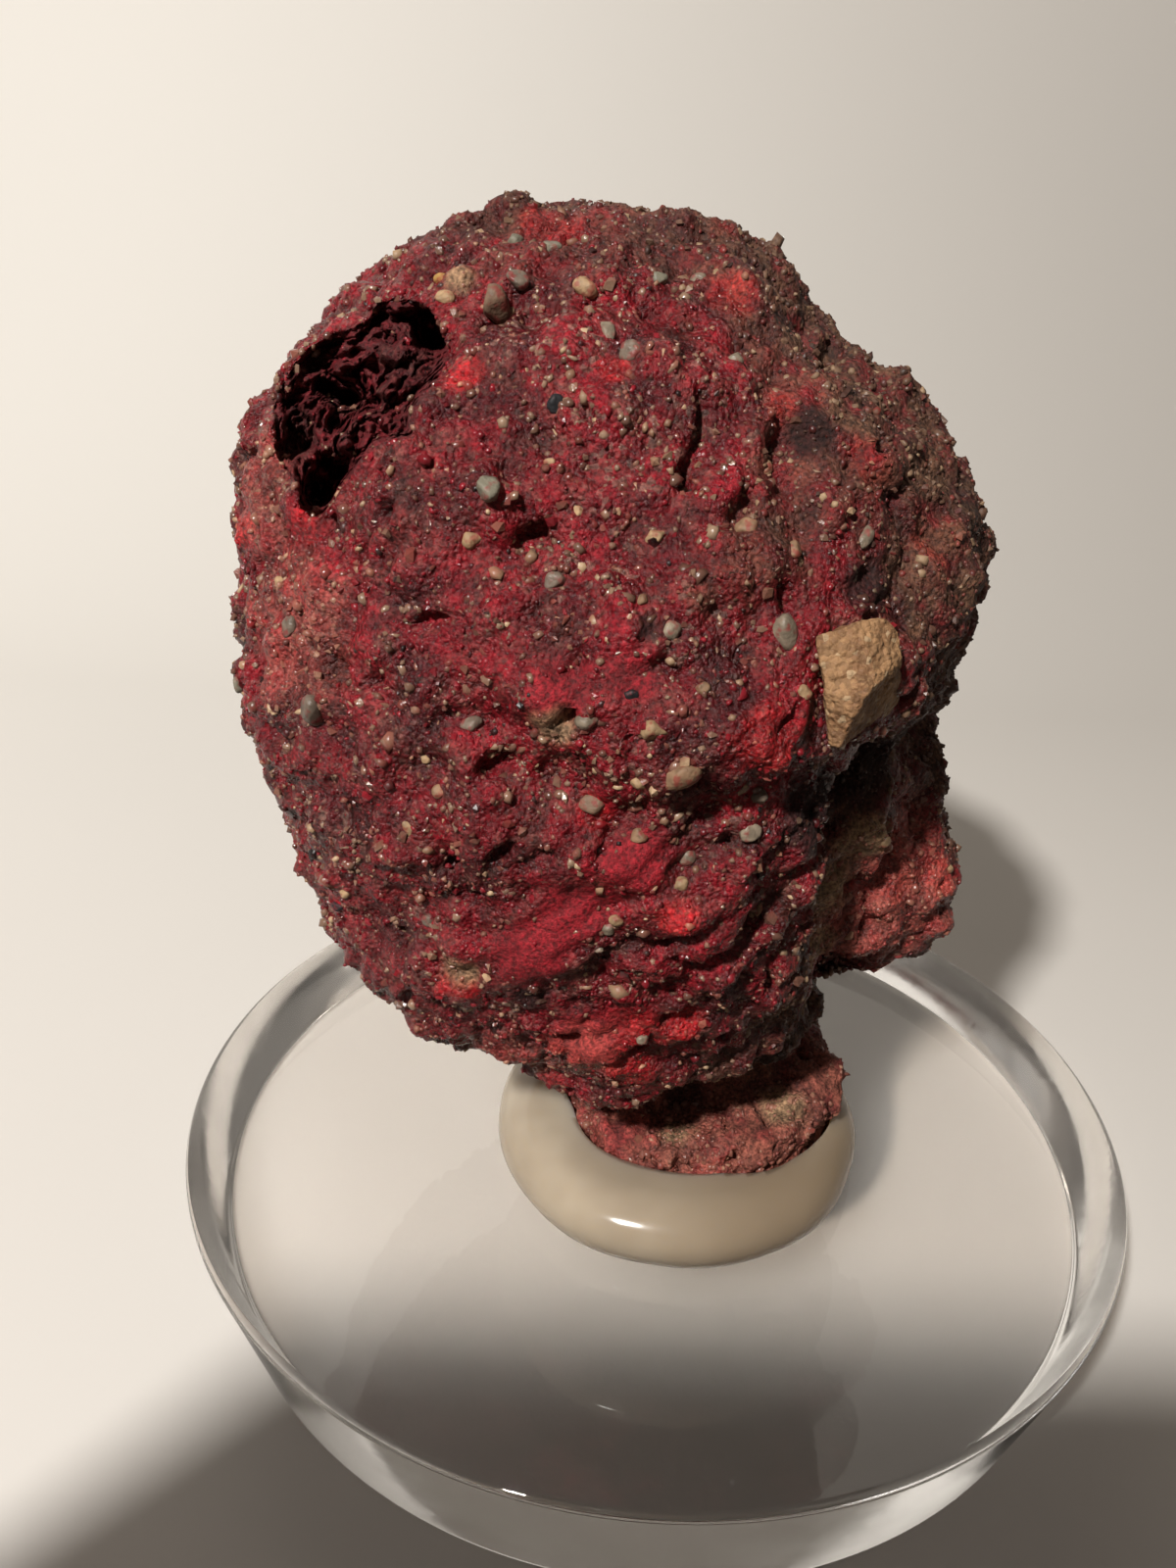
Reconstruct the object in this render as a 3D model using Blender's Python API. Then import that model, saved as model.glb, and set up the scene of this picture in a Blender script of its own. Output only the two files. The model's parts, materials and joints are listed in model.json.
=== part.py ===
"""A nodule of sand cemented and crusted with cinnabar, glued upright on a clear round block.

Sizes are in millimetres and are turned into metres where a mesh is made. The origin is the middle
of the block's underside, +Z is up, and the nodule's broad red face looks along -Y.
"""
import math

import bmesh
import bpy
import numpy as np

MM = 0.001
FIT_GAP = 0.3
POCKET_GAP = 0.45
RECESS_GAP = 0.36

# Clear round block
BLOCK_RADIUS = 35.0
BLOCK_HEIGHT = 10.0
BLOCK_BEVEL = 0.5
BLOCK_SIDES = 80

# Glue pad between the block and the nodule
GLUE_CENTRE = (1.5, -5.4)
GLUE_REACH_X = 13.0
GLUE_REACH_Y = 13.6
GLUE_TOP = 14.2
GLUE_SHOULDER = 0.24
GLUE_FOOTPRINT = 0.94
GLUE_SIDES = 56
GLUE_STEPS = 8
GLUE_UNDERSIDE = -0.20 * math.pi
GLUE_WIDEST = 0.37
GLUE_FLAT = 0.5
FOOT_SINKS = 3.0

# Level cuts through the nodule, from the foot up: height, then where its left, right, front and
# back edges lie
NODULE_CUTS = (
    (12.0, -6.0, 12.0, -13.0, 3.0),
    (14.0, -6.9, 12.4, -13.9, 4.0),
    (16.2, -6.9, 12.9, -13.2, 5.0),
    (18.2, -7.4, 12.0, -9.8, 6.0),
    (20.5, -12.0, 11.0, -12.4, 8.0),
    (23.5, -16.8, 11.0, -16.5, 10.5),
    (27.5, -21.0, 11.5, -19.0, 13.4),
    (33.0, -24.0, 12.5, -21.3, 16.2),
    (39.5, -26.0, 14.0, -22.8, 17.8),
    (47.0, -27.6, 16.2, -23.2, 18.6),
    (54.5, -27.6, 17.6, -21.6, 18.6),
    (61.0, -26.0, 14.0, -18.8, 17.2),
    (66.5, -22.4, 7.8, -14.6, 14.0),
    (70.3, -17.0, 2.2, -9.6, 9.6),
    (72.1, -12.4, -2.6, -5.0, 4.6),
)
NODULE_TOP = (-7.6, -0.6, 72.8)
NODULE_SQUARENESS = 2.25
NODULE_COLUMNS = 80
NODULE_ROWS = 42
PROFILE_STEPS = 600

# Lobes that swell out of the nodule: middle, half sizes and width of the blend
LOBES = (
    ("knob", (12.4, -3.6, 31.4), (7.2, 6.4, 6.8), 2.0),
    ("brow over the knob", (10.6, -1.0, 39.0), (7.8, 7.0, 8.4), 2.4),
    ("lower lip", (-3.6, -10.4, 24.0), (7.4, 6.4, 4.6), 1.8),
)

# Lumps and, with a height below zero, hollows: middle, radius and height
LUMPS = (
    ("crown, left", (-12.6, -4.0, 70.6), 3.8, 1.0),
    ("crown notch", (-9.8, -4.0, 72.4), 1.6, -0.6),
    ("crown, middle", (-6.0, -4.0, 72.4), 3.0, 0.5),
    ("shoulder", (2.4, -3.0, 70.2), 3.2, 1.2),
    ("dip below the shoulder", (6.4, -8.0, 67.0), 3.4, -1.0),
    ("upper step", (11.6, -6.0, 62.8), 2.6, 1.0),
    ("lower step", (14.6, -8.0, 59.2), 2.4, 0.6),
    ("cheek by the cavity", (-25.0, -8.0, 60.0), 5.0, 0.4),
    ("swell right of the cavity", (-13.6, -17.6, 59.6), 4.6, 1.0),
    ("lip of the cavity", (-15.0, -17.4, 59.2), 2.4, 0.7),
    ("lower left edge", (-15.4, -14.6, 28.6), 5.0, 1.2),
    ("bulge over the ledge", (-3.0, -22.6, 51.0), 5.0, 1.1),
    ("corner over the recess", (3.2, -21.6, 49.0), 3.0, 1.0),
    ("under the knob", (11.0, -8.0, 26.4), 2.6, -1.6),
    ("right shoulder of the foot", (12.6, -6.0, 16.6), 2.6, 0.8),
    ("recess under the pebble", (10.6, -15.0, 43.2), 4.0, -3.6),
    ("hollow above the pebble", (9.6, -16.6, 57.2), 2.8, -1.4),
    ("slot", (4.4, -16.0, 62.8), 1.7, -1.3),
    ("bright lip", (-4.4, -18.6, 26.6), 3.0, 0.9),
    ("dark hole in the ledge", (-7.2, -23.0, 47.4), 2.0, -1.2),
    ("dark hole at mid height", (-14.6, -20.4, 53.8), 1.7, -1.0),
    ("back swell", (-4.0, 18.4, 52.0), 8.0, 1.6),
    ("back hollow", (6.0, 15.0, 40.0), 6.0, -1.8),
    ("back lower swell", (-12.0, 13.0, 32.0), 6.0, 1.4),
)

# Ridges and, with a height below zero, grooves: path, radius and height
LEDGE = ((-11.8, -21.1, 54.0), (-7.9, -22.8, 49.6), (-4.1, -23.0, 48.6), (2.2, -22.1, 48.2))
UNDERCUT_LEFT = ((-10.6, -22.6, 49.2), (-6.8, -23.2, 46.0))
UNDERCUT = UNDERCUT_LEFT + ((-2.0, -23.0, 44.4), (2.6, -22.2, 45.6), (7.0, -20.4, 45.2))
FOOT_GROOVE = ((-7.0, -8.0, 16.0), (0.0, -11.0, 17.2), (8.0, -9.0, 18.6), (12.0, -5.0, 20.0))
RECESS_FAR = ((17.0, -3.0, 42.8), (14.0, -8.0, 43.2))
RECESS_BAND = RECESS_FAR + ((10.8, -12.5, 42.8), (8.0, -16.0, 41.4), (5.4, -18.8, 40.2))
KNOB_FURROW = ((10.4, -16.0, 44.5), (9.6, -15.5, 40.0), (9.4, -14.0, 35.0), (9.5, -12.0, 30.0))
RED_FACE_EDGE = ((-1.8, -6.0, 71.4), (3.8, -9.0, 68.0), (6.6, -13.4, 64.2), (9.8, -16.6, 57.0))
UPPER_FOLD = ((-12.0, -19.6, 56.6), (-2.0, -20.6, 58.6), (4.0, -18.6, 61.0))
LOWER_FOLD = ((-16.0, -19.4, 38.6), (-8.0, -22.0, 37.8), (0.0, -22.6, 42.2))
POWDERY_BAND = ((-9.6, -21.6, 35.4), (-3.6, -22.6, 41.0))
RIDGES = (
    ("ledge", LEDGE, 2.2, 0.7),
    ("undercut of the ledge", UNDERCUT, 1.9, -1.2),
    ("groove over the foot", FOOT_GROOVE, 1.8, -1.6),
    ("furrow beside the knob", KNOB_FURROW, 2.6, -2.2),
    ("band of the recess", RECESS_BAND, 2.0, -1.3),
    ("edge of the red face", RED_FACE_EDGE, 2.0, 0.6),
    ("diagonal fold, upper", UPPER_FOLD, 1.7, -0.7),
    ("diagonal fold, lower", LOWER_FOLD, 1.9, -0.8),
    ("powdery band", POWDERY_BAND, 2.2, 0.6),
)

# Lumpy grain of the surface: size of the lumps and their height. It is weak on the smooth neck.
LUMPINESS = ((9.0, 1.1), (4.6, 0.6))
LUMPINESS_GAIN = 2.2
LUMPINESS_LEVEL = 0.5
LUMPINESS_LEAST = 0.25
LUMPINESS_FADE = (16.0, 22.0)
LUMPINESS_SEED = 7

# Broken-open cavity: where it starts, and the balls that its hollow is made of
CAVITY_HEART = (-16.4, -10.2, 59.8)
CAVITY_BALLS = (
    ("mouth", (-18.9, -14.4, 62.2), (4.7, 4.8, 5.1), 1.5),
    ("upper mouth", (-16.0, -13.0, 65.4), (3.4, 4.0, 3.2), 1.2),
    ("way out", (-20.6, -19.0, 64.0), (4.8, 4.8, 5.0), 1.5),
    ("hollow", (-15.6, -8.6, 59.2), (6.6, 6.0, 6.4), 1.5),
)
CAVITY_ROWS = 17
CAVITY_COLUMNS = 24
CAVITY_ROUGHNESS = (3.2, 0.7)

# Angular tan pebble: corners of its lit face, of its lower right face and of its hidden root
PEBBLE_CORNERS = (
    (4.9, -20.1, 53.8),
    (6.6, -19.8, 54.6),
    (8.3, -19.2, 54.7),
    (9.1, -19.1, 53.8),
    (9.2, -19.8, 52.6),
    (7.5, -21.5, 51.7),
    (6.8, -21.8, 50.8),
    (6.4, -21.6, 48.7),
    (5.9, -21.2, 48.7),
    (5.3, -21.1, 51.8),
    (10.1, -17.7, 50.0),
    (9.7, -17.6, 49.2),
    (8.4, -18.8, 48.7),
    (5.9, -16.8, 53.0),
    (8.5, -15.6, 53.2),
    (8.9, -15.6, 50.4),
    (6.3, -16.8, 49.8),
)


def clear_scene():
    """Remove every object that the file opened with."""
    for old in list(bpy.data.objects):
        bpy.data.objects.remove(old, do_unlink=True)


def make_material(name, colour, roughness, transmission=0.0, ior=1.5):
    """A Principled material with one colour and roughness."""
    material = bpy.data.materials.new(name)
    material.use_nodes = True
    shader = material.node_tree.nodes["Principled BSDF"]
    shader.inputs["Base Color"].default_value = (*colour, 1.0)
    shader.inputs["Roughness"].default_value = roughness
    shader.inputs["Metallic"].default_value = 0.0
    shader.inputs["Transmission Weight"].default_value = transmission
    shader.inputs["IOR"].default_value = ior
    return material


def add_object(name, points, faces, material=None):
    """Put a closed mesh, given in millimetres, into the scene under its own name."""
    mesh = bpy.data.meshes.new(name)
    mesh.from_pydata((np.asarray(points, float) * MM).tolist(), [], faces)
    mesh.update()
    if material:
        mesh.materials.append(material)
    thing = bpy.data.objects.new(name, mesh)
    bpy.context.scene.collection.objects.link(thing)
    return thing


def add_cutter(name, points, faces):
    """A closed mesh that only cuts others."""
    cutter = add_object(name, points, faces)
    cutter.hide_render = True
    cutter.display_type = "WIRE"
    return cutter


def cut(thing, cutter):
    """Take the cutter's shape out of a thing."""
    modifier = thing.modifiers.new("cut " + cutter.name, "BOOLEAN")
    modifier.operation = "DIFFERENCE"
    modifier.solver = "EXACT"
    modifier.object = cutter


def smooth_round(thing, angle):
    """Shade a round thing smooth, apart from its edges."""
    thing.data.shade_smooth()
    thing.data.set_sharp_from_angle(angle=math.radians(angle))


def closed_grid(grid, low_pole, high_pole):
    """Points and faces of rings stacked upwards, with a fan of triangles closing each end."""
    rows, columns, _ = grid.shape
    points = np.vstack([grid.reshape(-1, 3), low_pole, high_pole])
    low, high = rows * columns, rows * columns + 1
    last = (rows - 1) * columns
    faces = []
    for column in range(columns):
        right = (column + 1) % columns
        for base in range(0, last, columns):
            above = base + columns
            faces.append((base + column, base + right, above + right, above + column))
        faces.append((low, right, column))
        faces.append((high, last + column, last + right))
    return points, faces


def spline(stops, where):
    """A smooth curve through evenly spaced stops, read at the given places (Catmull-Rom)."""
    stops = np.asarray(stops, float)
    padded = np.vstack([2 * stops[0] - stops[1], stops, 2 * stops[-1] - stops[-2]])
    start = np.clip(np.floor(where).astype(int), 0, len(stops) - 2)
    part = (where - start)[:, None]
    before, first, second, after = (padded[start + step] for step in range(4))
    bend = 2 * before - 5 * first + 4 * second - after
    turn = 3 * (first - second) + after - before
    return first + 0.5 * part * (second - before + part * (bend + part * turn))


def swell(reach, other, blend):
    """The farther of two reaches, with the crease between them filled over `blend`."""
    near = np.clip(blend - np.abs(reach - other), 0.0, None) / blend
    return np.maximum(reach, other) + near ** 2 * blend / 4


def ball_reach(start, direction, middle, half):
    """How far rays run before they leave an ellipsoid, or 0 where they miss it."""
    offset = (start - np.array(middle)) / np.array(half)
    step = direction / np.array(half)
    square = (step ** 2).sum(-1)
    along = (offset * step).sum(-1)
    inside = along ** 2 - square * ((offset ** 2).sum(-1) - 1.0)
    return np.where(inside > 0, (-along + np.sqrt(np.clip(inside, 0, None))) / square, 0.0)


def lattice_noise(points, size, seed):
    """Smooth noise: random slopes at the corners of cubes `size` wide, blended inside each."""
    table = np.random.RandomState(seed).permutation(256)
    slopes = np.random.RandomState(seed + 1).normal(size=(256, 3))
    slopes /= np.linalg.norm(slopes, axis=1)[:, None]
    place = points / size
    cell = np.floor(place).astype(int)
    part = place - cell
    fade = part ** 3 * (part * (part * 6 - 15) + 10)
    total = np.zeros(points.shape[:-1])
    for corner in np.ndindex(2, 2, 2):
        at = cell + corner
        key = table[(table[(table[at[..., 0] % 256] + at[..., 1]) % 256] + at[..., 2]) % 256]
        slope = (slopes[key] * (part - corner)).sum(-1)
        weight = np.where(corner, fade, 1 - fade).prod(-1)
        total += weight * slope
    return total


def path_distance(points, path):
    """Distance from each point to the nearest stretch of a path."""
    path = np.asarray(path, float)
    nearest = np.full(points.shape[:-1], np.inf)
    for first, second in zip(path[:-1], path[1:]):
        run = second - first
        along = np.clip(((points - first) @ run) / (run @ run), 0, 1)
        nearest = np.minimum(nearest, np.linalg.norm(points - first - along[..., None] * run, axis=-1))
    return nearest


def outward(grid):
    """Unit normals of stacked rings."""
    round_step = np.roll(grid, -1, 1) - np.roll(grid, 1, 1)
    up_step = np.gradient(grid, axis=0)
    normal = np.cross(round_step, up_step)
    return normal / (np.linalg.norm(normal, axis=-1, keepdims=True) + 1e-9)


def relief(points):
    """How far the lumps, hollows, ridges and grooves stand out of the plain form."""
    height = np.zeros(points.shape[:-1])
    for _, middle, radius, rise in LUMPS:
        distance = np.linalg.norm(points - np.array(middle), axis=-1)
        height += rise * np.exp(-(distance / radius) ** 2)
    for _, path, radius, rise in RIDGES:
        height += rise * np.exp(-(path_distance(points, path) / radius) ** 2)
    low, high = LUMPINESS_FADE
    fade = np.clip((points[..., 2] - low) / (high - low), LUMPINESS_LEAST, 1.0)
    for octave, (size, rise) in enumerate(LUMPINESS):
        bumpy = np.abs(lattice_noise(points, size, LUMPINESS_SEED + 2 * octave))
        height += fade * rise * (LUMPINESS_GAIN * bumpy - LUMPINESS_LEVEL)
    return height


def nodule_grid(rows, columns):
    """Rings of points round the nodule's plain form, evenly spaced along its profile."""
    fine = np.linspace(0, len(NODULE_CUTS) - 1, PROFILE_STEPS)
    cuts = spline(NODULE_CUTS, fine)
    travel = np.hypot(np.diff(cuts[:, 0]), np.diff(cuts[:, 3] + cuts[:, 1]) / 2)
    travel = np.concatenate([[0], np.cumsum(travel)])
    where = np.interp(np.linspace(0, travel[-1], rows), travel, fine)
    height, left, right, front, back = spline(NODULE_CUTS, where).T[:, :, None]
    angle = np.linspace(0, 2 * math.pi, columns, endpoint=False)[None, :]
    half_x, half_y = (right - left) / 2, (back - front) / 2
    across, deep = np.cos(angle), np.sin(angle)
    power = NODULE_SQUARENESS
    reach = (np.abs(across / half_x) ** power + np.abs(deep / half_y) ** power) ** (-1 / power)
    start = np.stack(np.broadcast_arrays((left + right) / 2, (front + back) / 2, height + 0 * angle), -1)
    direction = np.stack(np.broadcast_arrays(across, deep, 0 * reach), -1)
    for _, middle, half, blend in LOBES:
        reach = swell(reach, ball_reach(start, direction, middle, half), blend)
    return start + direction * reach[:, :, None]


def nodule_shape(rows, columns):
    """The nodule's plain form with its relief; the flat underside stays flat."""
    grid = nodule_grid(rows, columns)
    height = relief(grid)
    height[0] = 0.0
    return grid + outward(grid) * height[..., None]


def ball_directions(rows, columns):
    """Unit vectors over a sphere, in rings from the bottom up, without the poles."""
    tilt = np.linspace(-math.pi / 2, math.pi / 2, rows + 2)[1:-1, None]
    angle = np.linspace(0, 2 * math.pi, columns, endpoint=False)[None, :]
    level = np.cos(tilt)
    return np.stack(np.broadcast_arrays(level * np.cos(angle), level * np.sin(angle), np.sin(tilt)), -1)


def cavity_shape(rows, columns):
    """The hollow, seen from its heart as the blend of several balls, with a spongy wall."""
    heart = np.array(CAVITY_HEART)

    def wall(direction):
        reach = np.zeros(direction.shape[:-1])
        for _, middle, half, blend in CAVITY_BALLS:
            reach = swell(reach, ball_reach(heart, direction, middle, half), blend)
        size, rise = CAVITY_ROUGHNESS
        reach = reach + rise * lattice_noise(heart + direction * reach[..., None], size, LUMPINESS_SEED)
        return heart + direction * reach[..., None]

    poles = wall(np.array([[0.0, 0.0, -1.0], [0.0, 0.0, 1.0]]))
    return closed_grid(wall(ball_directions(rows, columns)), poles[0], poles[1])


def pebble_mesh(grow=0.0):
    """The tan pebble as the hull of its corners, grown by a margin for its pocket."""
    corners = np.array(PEBBLE_CORNERS)
    away = corners - corners.mean(0)
    corners = corners + grow * away / np.linalg.norm(away, axis=1)[:, None]
    shell = bmesh.new()
    for corner in corners:
        shell.verts.new(corner)
    bmesh.ops.convex_hull(shell, input=shell.verts)
    loose = [vertex for vertex in shell.verts if not vertex.link_faces]
    bmesh.ops.delete(shell, geom=loose, context="VERTS")
    bmesh.ops.recalc_face_normals(shell, faces=shell.faces)
    shell.verts.index_update()
    points = [tuple(vertex.co) for vertex in shell.verts]
    faces = [tuple(vertex.index for vertex in face.verts) for face in shell.faces]
    shell.free()
    return points, faces


def make_nodule(material):
    """The nodule, with its cavity and the pebble's pocket cut out."""
    grid = nodule_shape(NODULE_ROWS, NODULE_COLUMNS)
    points, faces = closed_grid(grid, grid[0].mean(0), NODULE_TOP)
    nodule = add_object("cinnabar_nodule", points, faces, material)
    cut(nodule, add_cutter("cavity cutter", *cavity_shape(CAVITY_ROWS, CAVITY_COLUMNS)))
    cut(nodule, add_cutter("pocket cutter", *pebble_mesh(grow=POCKET_GAP)))
    return nodule


def make_pebble(material):
    """The tan pebble that sticks out of the red face."""
    return add_object("tan_pebble", *pebble_mesh(), material)


def glue_profile():
    """Half of the drop's outline as parts of its reach and heights, from the block upwards."""
    low = BLOCK_HEIGHT + FIT_GAP
    rise = GLUE_TOP - low
    angle = np.linspace(GLUE_UNDERSIDE, 0.5 * math.pi, GLUE_STEPS)
    side = 1 - GLUE_SHOULDER * (1 - np.cos(angle))
    height = low + rise * (GLUE_WIDEST + (1 - GLUE_WIDEST) * np.sin(angle))
    rim = [(GLUE_FOOTPRINT, low)]
    return np.array(rim + list(zip(side[1:], height[1:])) + [(GLUE_FLAT, GLUE_TOP)])


def make_glue(material):
    """The glue: a flat round drop, with a recess that the nodule's foot sits in."""
    angle = np.linspace(0, 2 * math.pi, GLUE_SIDES, endpoint=False)
    part, height = glue_profile().T[:, :, None]
    x = GLUE_CENTRE[0] + GLUE_REACH_X * part * np.cos(angle)
    y = GLUE_CENTRE[1] + GLUE_REACH_Y * part * np.sin(angle)
    grid = np.stack([x, y, height + 0 * x], -1)
    points, faces = closed_grid(grid, grid[0].mean(0), grid[-1].mean(0))
    glue = add_object("glue_pad", points, faces, material)
    smooth_round(glue, 40)
    foot = nodule_shape(NODULE_ROWS, NODULE_COLUMNS)
    foot = foot[: int((foot[:, :, 2].mean(1) < GLUE_TOP + FOOT_SINKS).sum())]
    middle = foot.mean((0, 1))
    away = foot - middle
    away[..., 2] = 0
    foot = foot + RECESS_GAP * away / np.linalg.norm(away, axis=-1, keepdims=True)
    foot[0, :, 2] -= FIT_GAP
    cut(glue, add_cutter("recess cutter", *closed_grid(foot, foot[0].mean(0), foot[-1].mean(0))))
    return glue


def make_block(material):
    """The clear block, a disc with a small bevel on both rims."""
    inner = BLOCK_RADIUS - BLOCK_BEVEL
    top = BLOCK_HEIGHT
    profile = ((inner, 0.0), (BLOCK_RADIUS, BLOCK_BEVEL), (BLOCK_RADIUS, top - BLOCK_BEVEL), (inner, top))
    angle = np.linspace(0, 2 * math.pi, BLOCK_SIDES, endpoint=False)
    radius, height = np.array(profile).T[:, :, None]
    grid = np.stack(np.broadcast_arrays(radius * np.cos(angle), radius * np.sin(angle), height), -1)
    block = add_object("acrylic_block", *closed_grid(grid, (0, 0, 0), (0, 0, top)), material)
    smooth_round(block, 30)
    return block


def main():
    clear_scene()
    make_nodule(make_material("cinnabar crust", (0.26, 0.03, 0.04), 0.6))
    make_pebble(make_material("tan sandstone", (0.42, 0.30, 0.16), 0.8))
    make_glue(make_material("milky glue", (0.42, 0.36, 0.29), 0.25))
    make_block(make_material("clear acrylic", (0.95, 0.96, 0.97), 0.03, transmission=1.0, ior=1.49))


main()
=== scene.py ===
"""Looks of a cinnabar-crusted sand nodule, glued upright on a clear round block.

Lengths are in millimetres and are turned into metres where a mesh is made. The origin is the middle
of the block's underside, +Z is up, and the nodule's broad red face looks along -Y.
"""

import json
import math

import bmesh
import bpy
import numpy as np
from mathutils import Matrix, Vector
from mathutils.bvhtree import BVHTree

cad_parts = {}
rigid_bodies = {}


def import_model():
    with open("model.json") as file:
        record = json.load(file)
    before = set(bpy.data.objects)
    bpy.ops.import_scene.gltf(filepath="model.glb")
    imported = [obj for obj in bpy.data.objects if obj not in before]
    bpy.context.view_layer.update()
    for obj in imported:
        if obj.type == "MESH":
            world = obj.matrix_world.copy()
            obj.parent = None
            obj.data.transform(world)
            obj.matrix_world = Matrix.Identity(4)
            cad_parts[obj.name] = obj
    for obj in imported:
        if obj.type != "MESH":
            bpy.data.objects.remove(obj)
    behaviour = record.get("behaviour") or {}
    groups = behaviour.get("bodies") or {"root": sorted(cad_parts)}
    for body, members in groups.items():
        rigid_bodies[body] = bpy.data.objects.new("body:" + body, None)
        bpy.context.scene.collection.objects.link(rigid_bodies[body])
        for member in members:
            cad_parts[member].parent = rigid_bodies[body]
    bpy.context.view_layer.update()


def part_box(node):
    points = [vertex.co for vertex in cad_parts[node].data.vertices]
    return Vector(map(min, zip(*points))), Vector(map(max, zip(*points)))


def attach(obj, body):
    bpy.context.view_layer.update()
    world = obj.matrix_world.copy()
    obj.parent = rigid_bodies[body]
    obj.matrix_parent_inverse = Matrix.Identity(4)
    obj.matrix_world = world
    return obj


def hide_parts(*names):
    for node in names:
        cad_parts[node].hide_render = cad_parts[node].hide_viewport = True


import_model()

MM = 0.001
BODY = "root"

# The photograph's camera: its place, its tilt down and roll, and its focal length in picture widths
PICTURE = (1200, 1600)
CAMERA_PLACE = (-5.92, -77.10, 72.18)
CAMERA_DOWN = math.radians(25.05)
CAMERA_ROLL = math.radians(2.17)
CAMERA_FOCAL = 1250

# Level cuts through the nodule, from the foot up: height, then its left, right, front and back edges
NODULE_CUTS = (
    (12.0, -6.0, 12.0, -13.0, 3.0),
    (14.0, -6.9, 12.4, -13.9, 4.0),
    (16.2, -6.9, 12.9, -13.2, 5.0),
    (18.2, -7.4, 12.0, -9.8, 6.0),
    (20.5, -12.0, 11.0, -12.4, 8.0),
    (23.5, -16.8, 11.0, -16.5, 10.5),
    (27.5, -21.0, 11.5, -19.0, 13.4),
    (33.0, -24.0, 12.5, -21.3, 16.2),
    (39.5, -26.0, 14.0, -22.8, 17.8),
    (47.0, -27.6, 16.2, -23.2, 18.6),
    (54.5, -27.6, 17.6, -21.6, 18.6),
    (61.0, -26.0, 14.0, -18.8, 17.2),
    (66.5, -22.4, 7.8, -14.6, 14.0),
    (70.3, -17.0, 2.2, -9.6, 9.6),
    (72.1, -12.4, -2.6, -5.0, 4.6),
)
NODULE_TOP = (-7.6, -0.6, 72.8)
NODULE_SQUARENESS = 2.25
NODULE_ROWS = 196
NODULE_COLUMNS = 400
CAP_ROWS = 10
PROFILE_STEPS = 600

# Lobes that swell out of the nodule: middle, half sizes and width of the blend
LOBES = (
    ("knob", (12.4, -3.6, 31.4), (7.2, 6.4, 6.8), 2.0),
    ("brow over the knob", (10.6, -1.0, 39.0), (7.8, 7.0, 8.4), 2.4),
    ("lower lip", (-3.6, -10.4, 24.0), (7.4, 6.4, 4.6), 1.8),
)

# Lumps and, with a height below zero, hollows: middle, radius and height
LUMPS = (
    ("crown, left", (-12.6, -4.0, 70.6), 3.8, 1.0),
    ("crown notch", (-9.8, -4.0, 72.4), 1.6, -0.6),
    ("crown, middle", (-6.0, -4.0, 72.4), 3.0, 0.5),
    ("shoulder", (2.4, -3.0, 70.2), 3.2, 1.2),
    ("dip below the shoulder", (6.4, -8.0, 67.0), 3.4, -1.0),
    ("upper step", (11.6, -6.0, 62.8), 2.6, 1.0),
    ("lower step", (14.6, -8.0, 59.2), 2.4, 0.6),
    ("cheek by the cavity", (-25.0, -8.0, 60.0), 5.0, 0.4),
    ("swell right of the cavity", (-13.6, -17.6, 59.6), 4.6, 1.0),
    ("lip of the cavity", (-15.0, -17.4, 59.2), 2.4, 0.7),
    ("lower left edge", (-15.4, -14.6, 28.6), 5.0, 1.2),
    ("tan patch beside the knob", (10.0, -10.6, 31.0), 3.0, 1.6),
    ("bulge over the ledge", (-3.0, -22.6, 51.0), 5.0, 1.1),
    ("corner over the recess", (3.2, -21.6, 49.0), 3.0, 1.0),
    ("under the knob", (11.0, -8.0, 26.4), 2.6, -1.6),
    ("right shoulder of the foot", (12.6, -6.0, 16.6), 2.6, 0.8),
    ("recess under the pebble", (10.6, -15.0, 43.2), 4.0, -3.6),
    ("hollow above the pebble", (9.6, -16.6, 57.2), 2.8, -1.4),
    ("slot", (4.4, -16.0, 62.8), 1.7, -1.3),
    ("bright lip", (-4.4, -18.6, 26.6), 3.0, 0.9),
    ("dark hole in the ledge", (-7.2, -23.0, 47.4), 2.0, -1.2),
    ("dark hole at mid height", (-14.6, -20.4, 53.8), 1.7, -1.0),
    ("back swell", (-4.0, 18.4, 52.0), 8.0, 1.6),
    ("back hollow", (6.0, 15.0, 40.0), 6.0, -1.8),
    ("back lower swell", (-12.0, 13.0, 32.0), 6.0, 1.4),
)

# Ridges and, with a height below zero, grooves: path, radius and height
LEDGE = ((-11.8, -21.1, 54.0), (-7.9, -22.8, 49.6), (-4.1, -23.0, 48.6), (2.2, -22.1, 48.2))
UNDERCUT_LEFT = ((-10.6, -22.6, 49.2), (-6.8, -23.2, 46.0))
UNDERCUT = UNDERCUT_LEFT + ((-2.0, -23.0, 44.4), (2.6, -22.2, 45.6), (7.0, -20.4, 45.2))
FOOT_GROOVE = ((-7.0, -8.0, 16.0), (0.0, -11.0, 17.2), (8.0, -9.0, 18.6), (12.0, -5.0, 20.0))
RECESS_FAR = ((17.0, -3.0, 42.8), (14.0, -8.0, 43.2))
RECESS_BAND = RECESS_FAR + ((10.8, -12.5, 42.8), (8.0, -16.0, 41.4), (5.4, -18.8, 40.2))
KNOB_FURROW = ((10.4, -16.0, 44.5), (9.6, -15.5, 40.0), (9.4, -14.0, 35.0), (9.5, -12.0, 30.0))
RED_FACE_EDGE = ((-1.8, -6.0, 71.4), (3.8, -9.0, 68.0), (6.6, -13.4, 64.2), (9.8, -16.6, 57.0))
UPPER_FOLD = ((-12.0, -19.6, 56.6), (-2.0, -20.6, 58.6), (4.0, -18.6, 61.0))
LOWER_FOLD = ((-16.0, -19.4, 38.6), (-8.0, -22.0, 37.8), (0.0, -22.6, 42.2))
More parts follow.
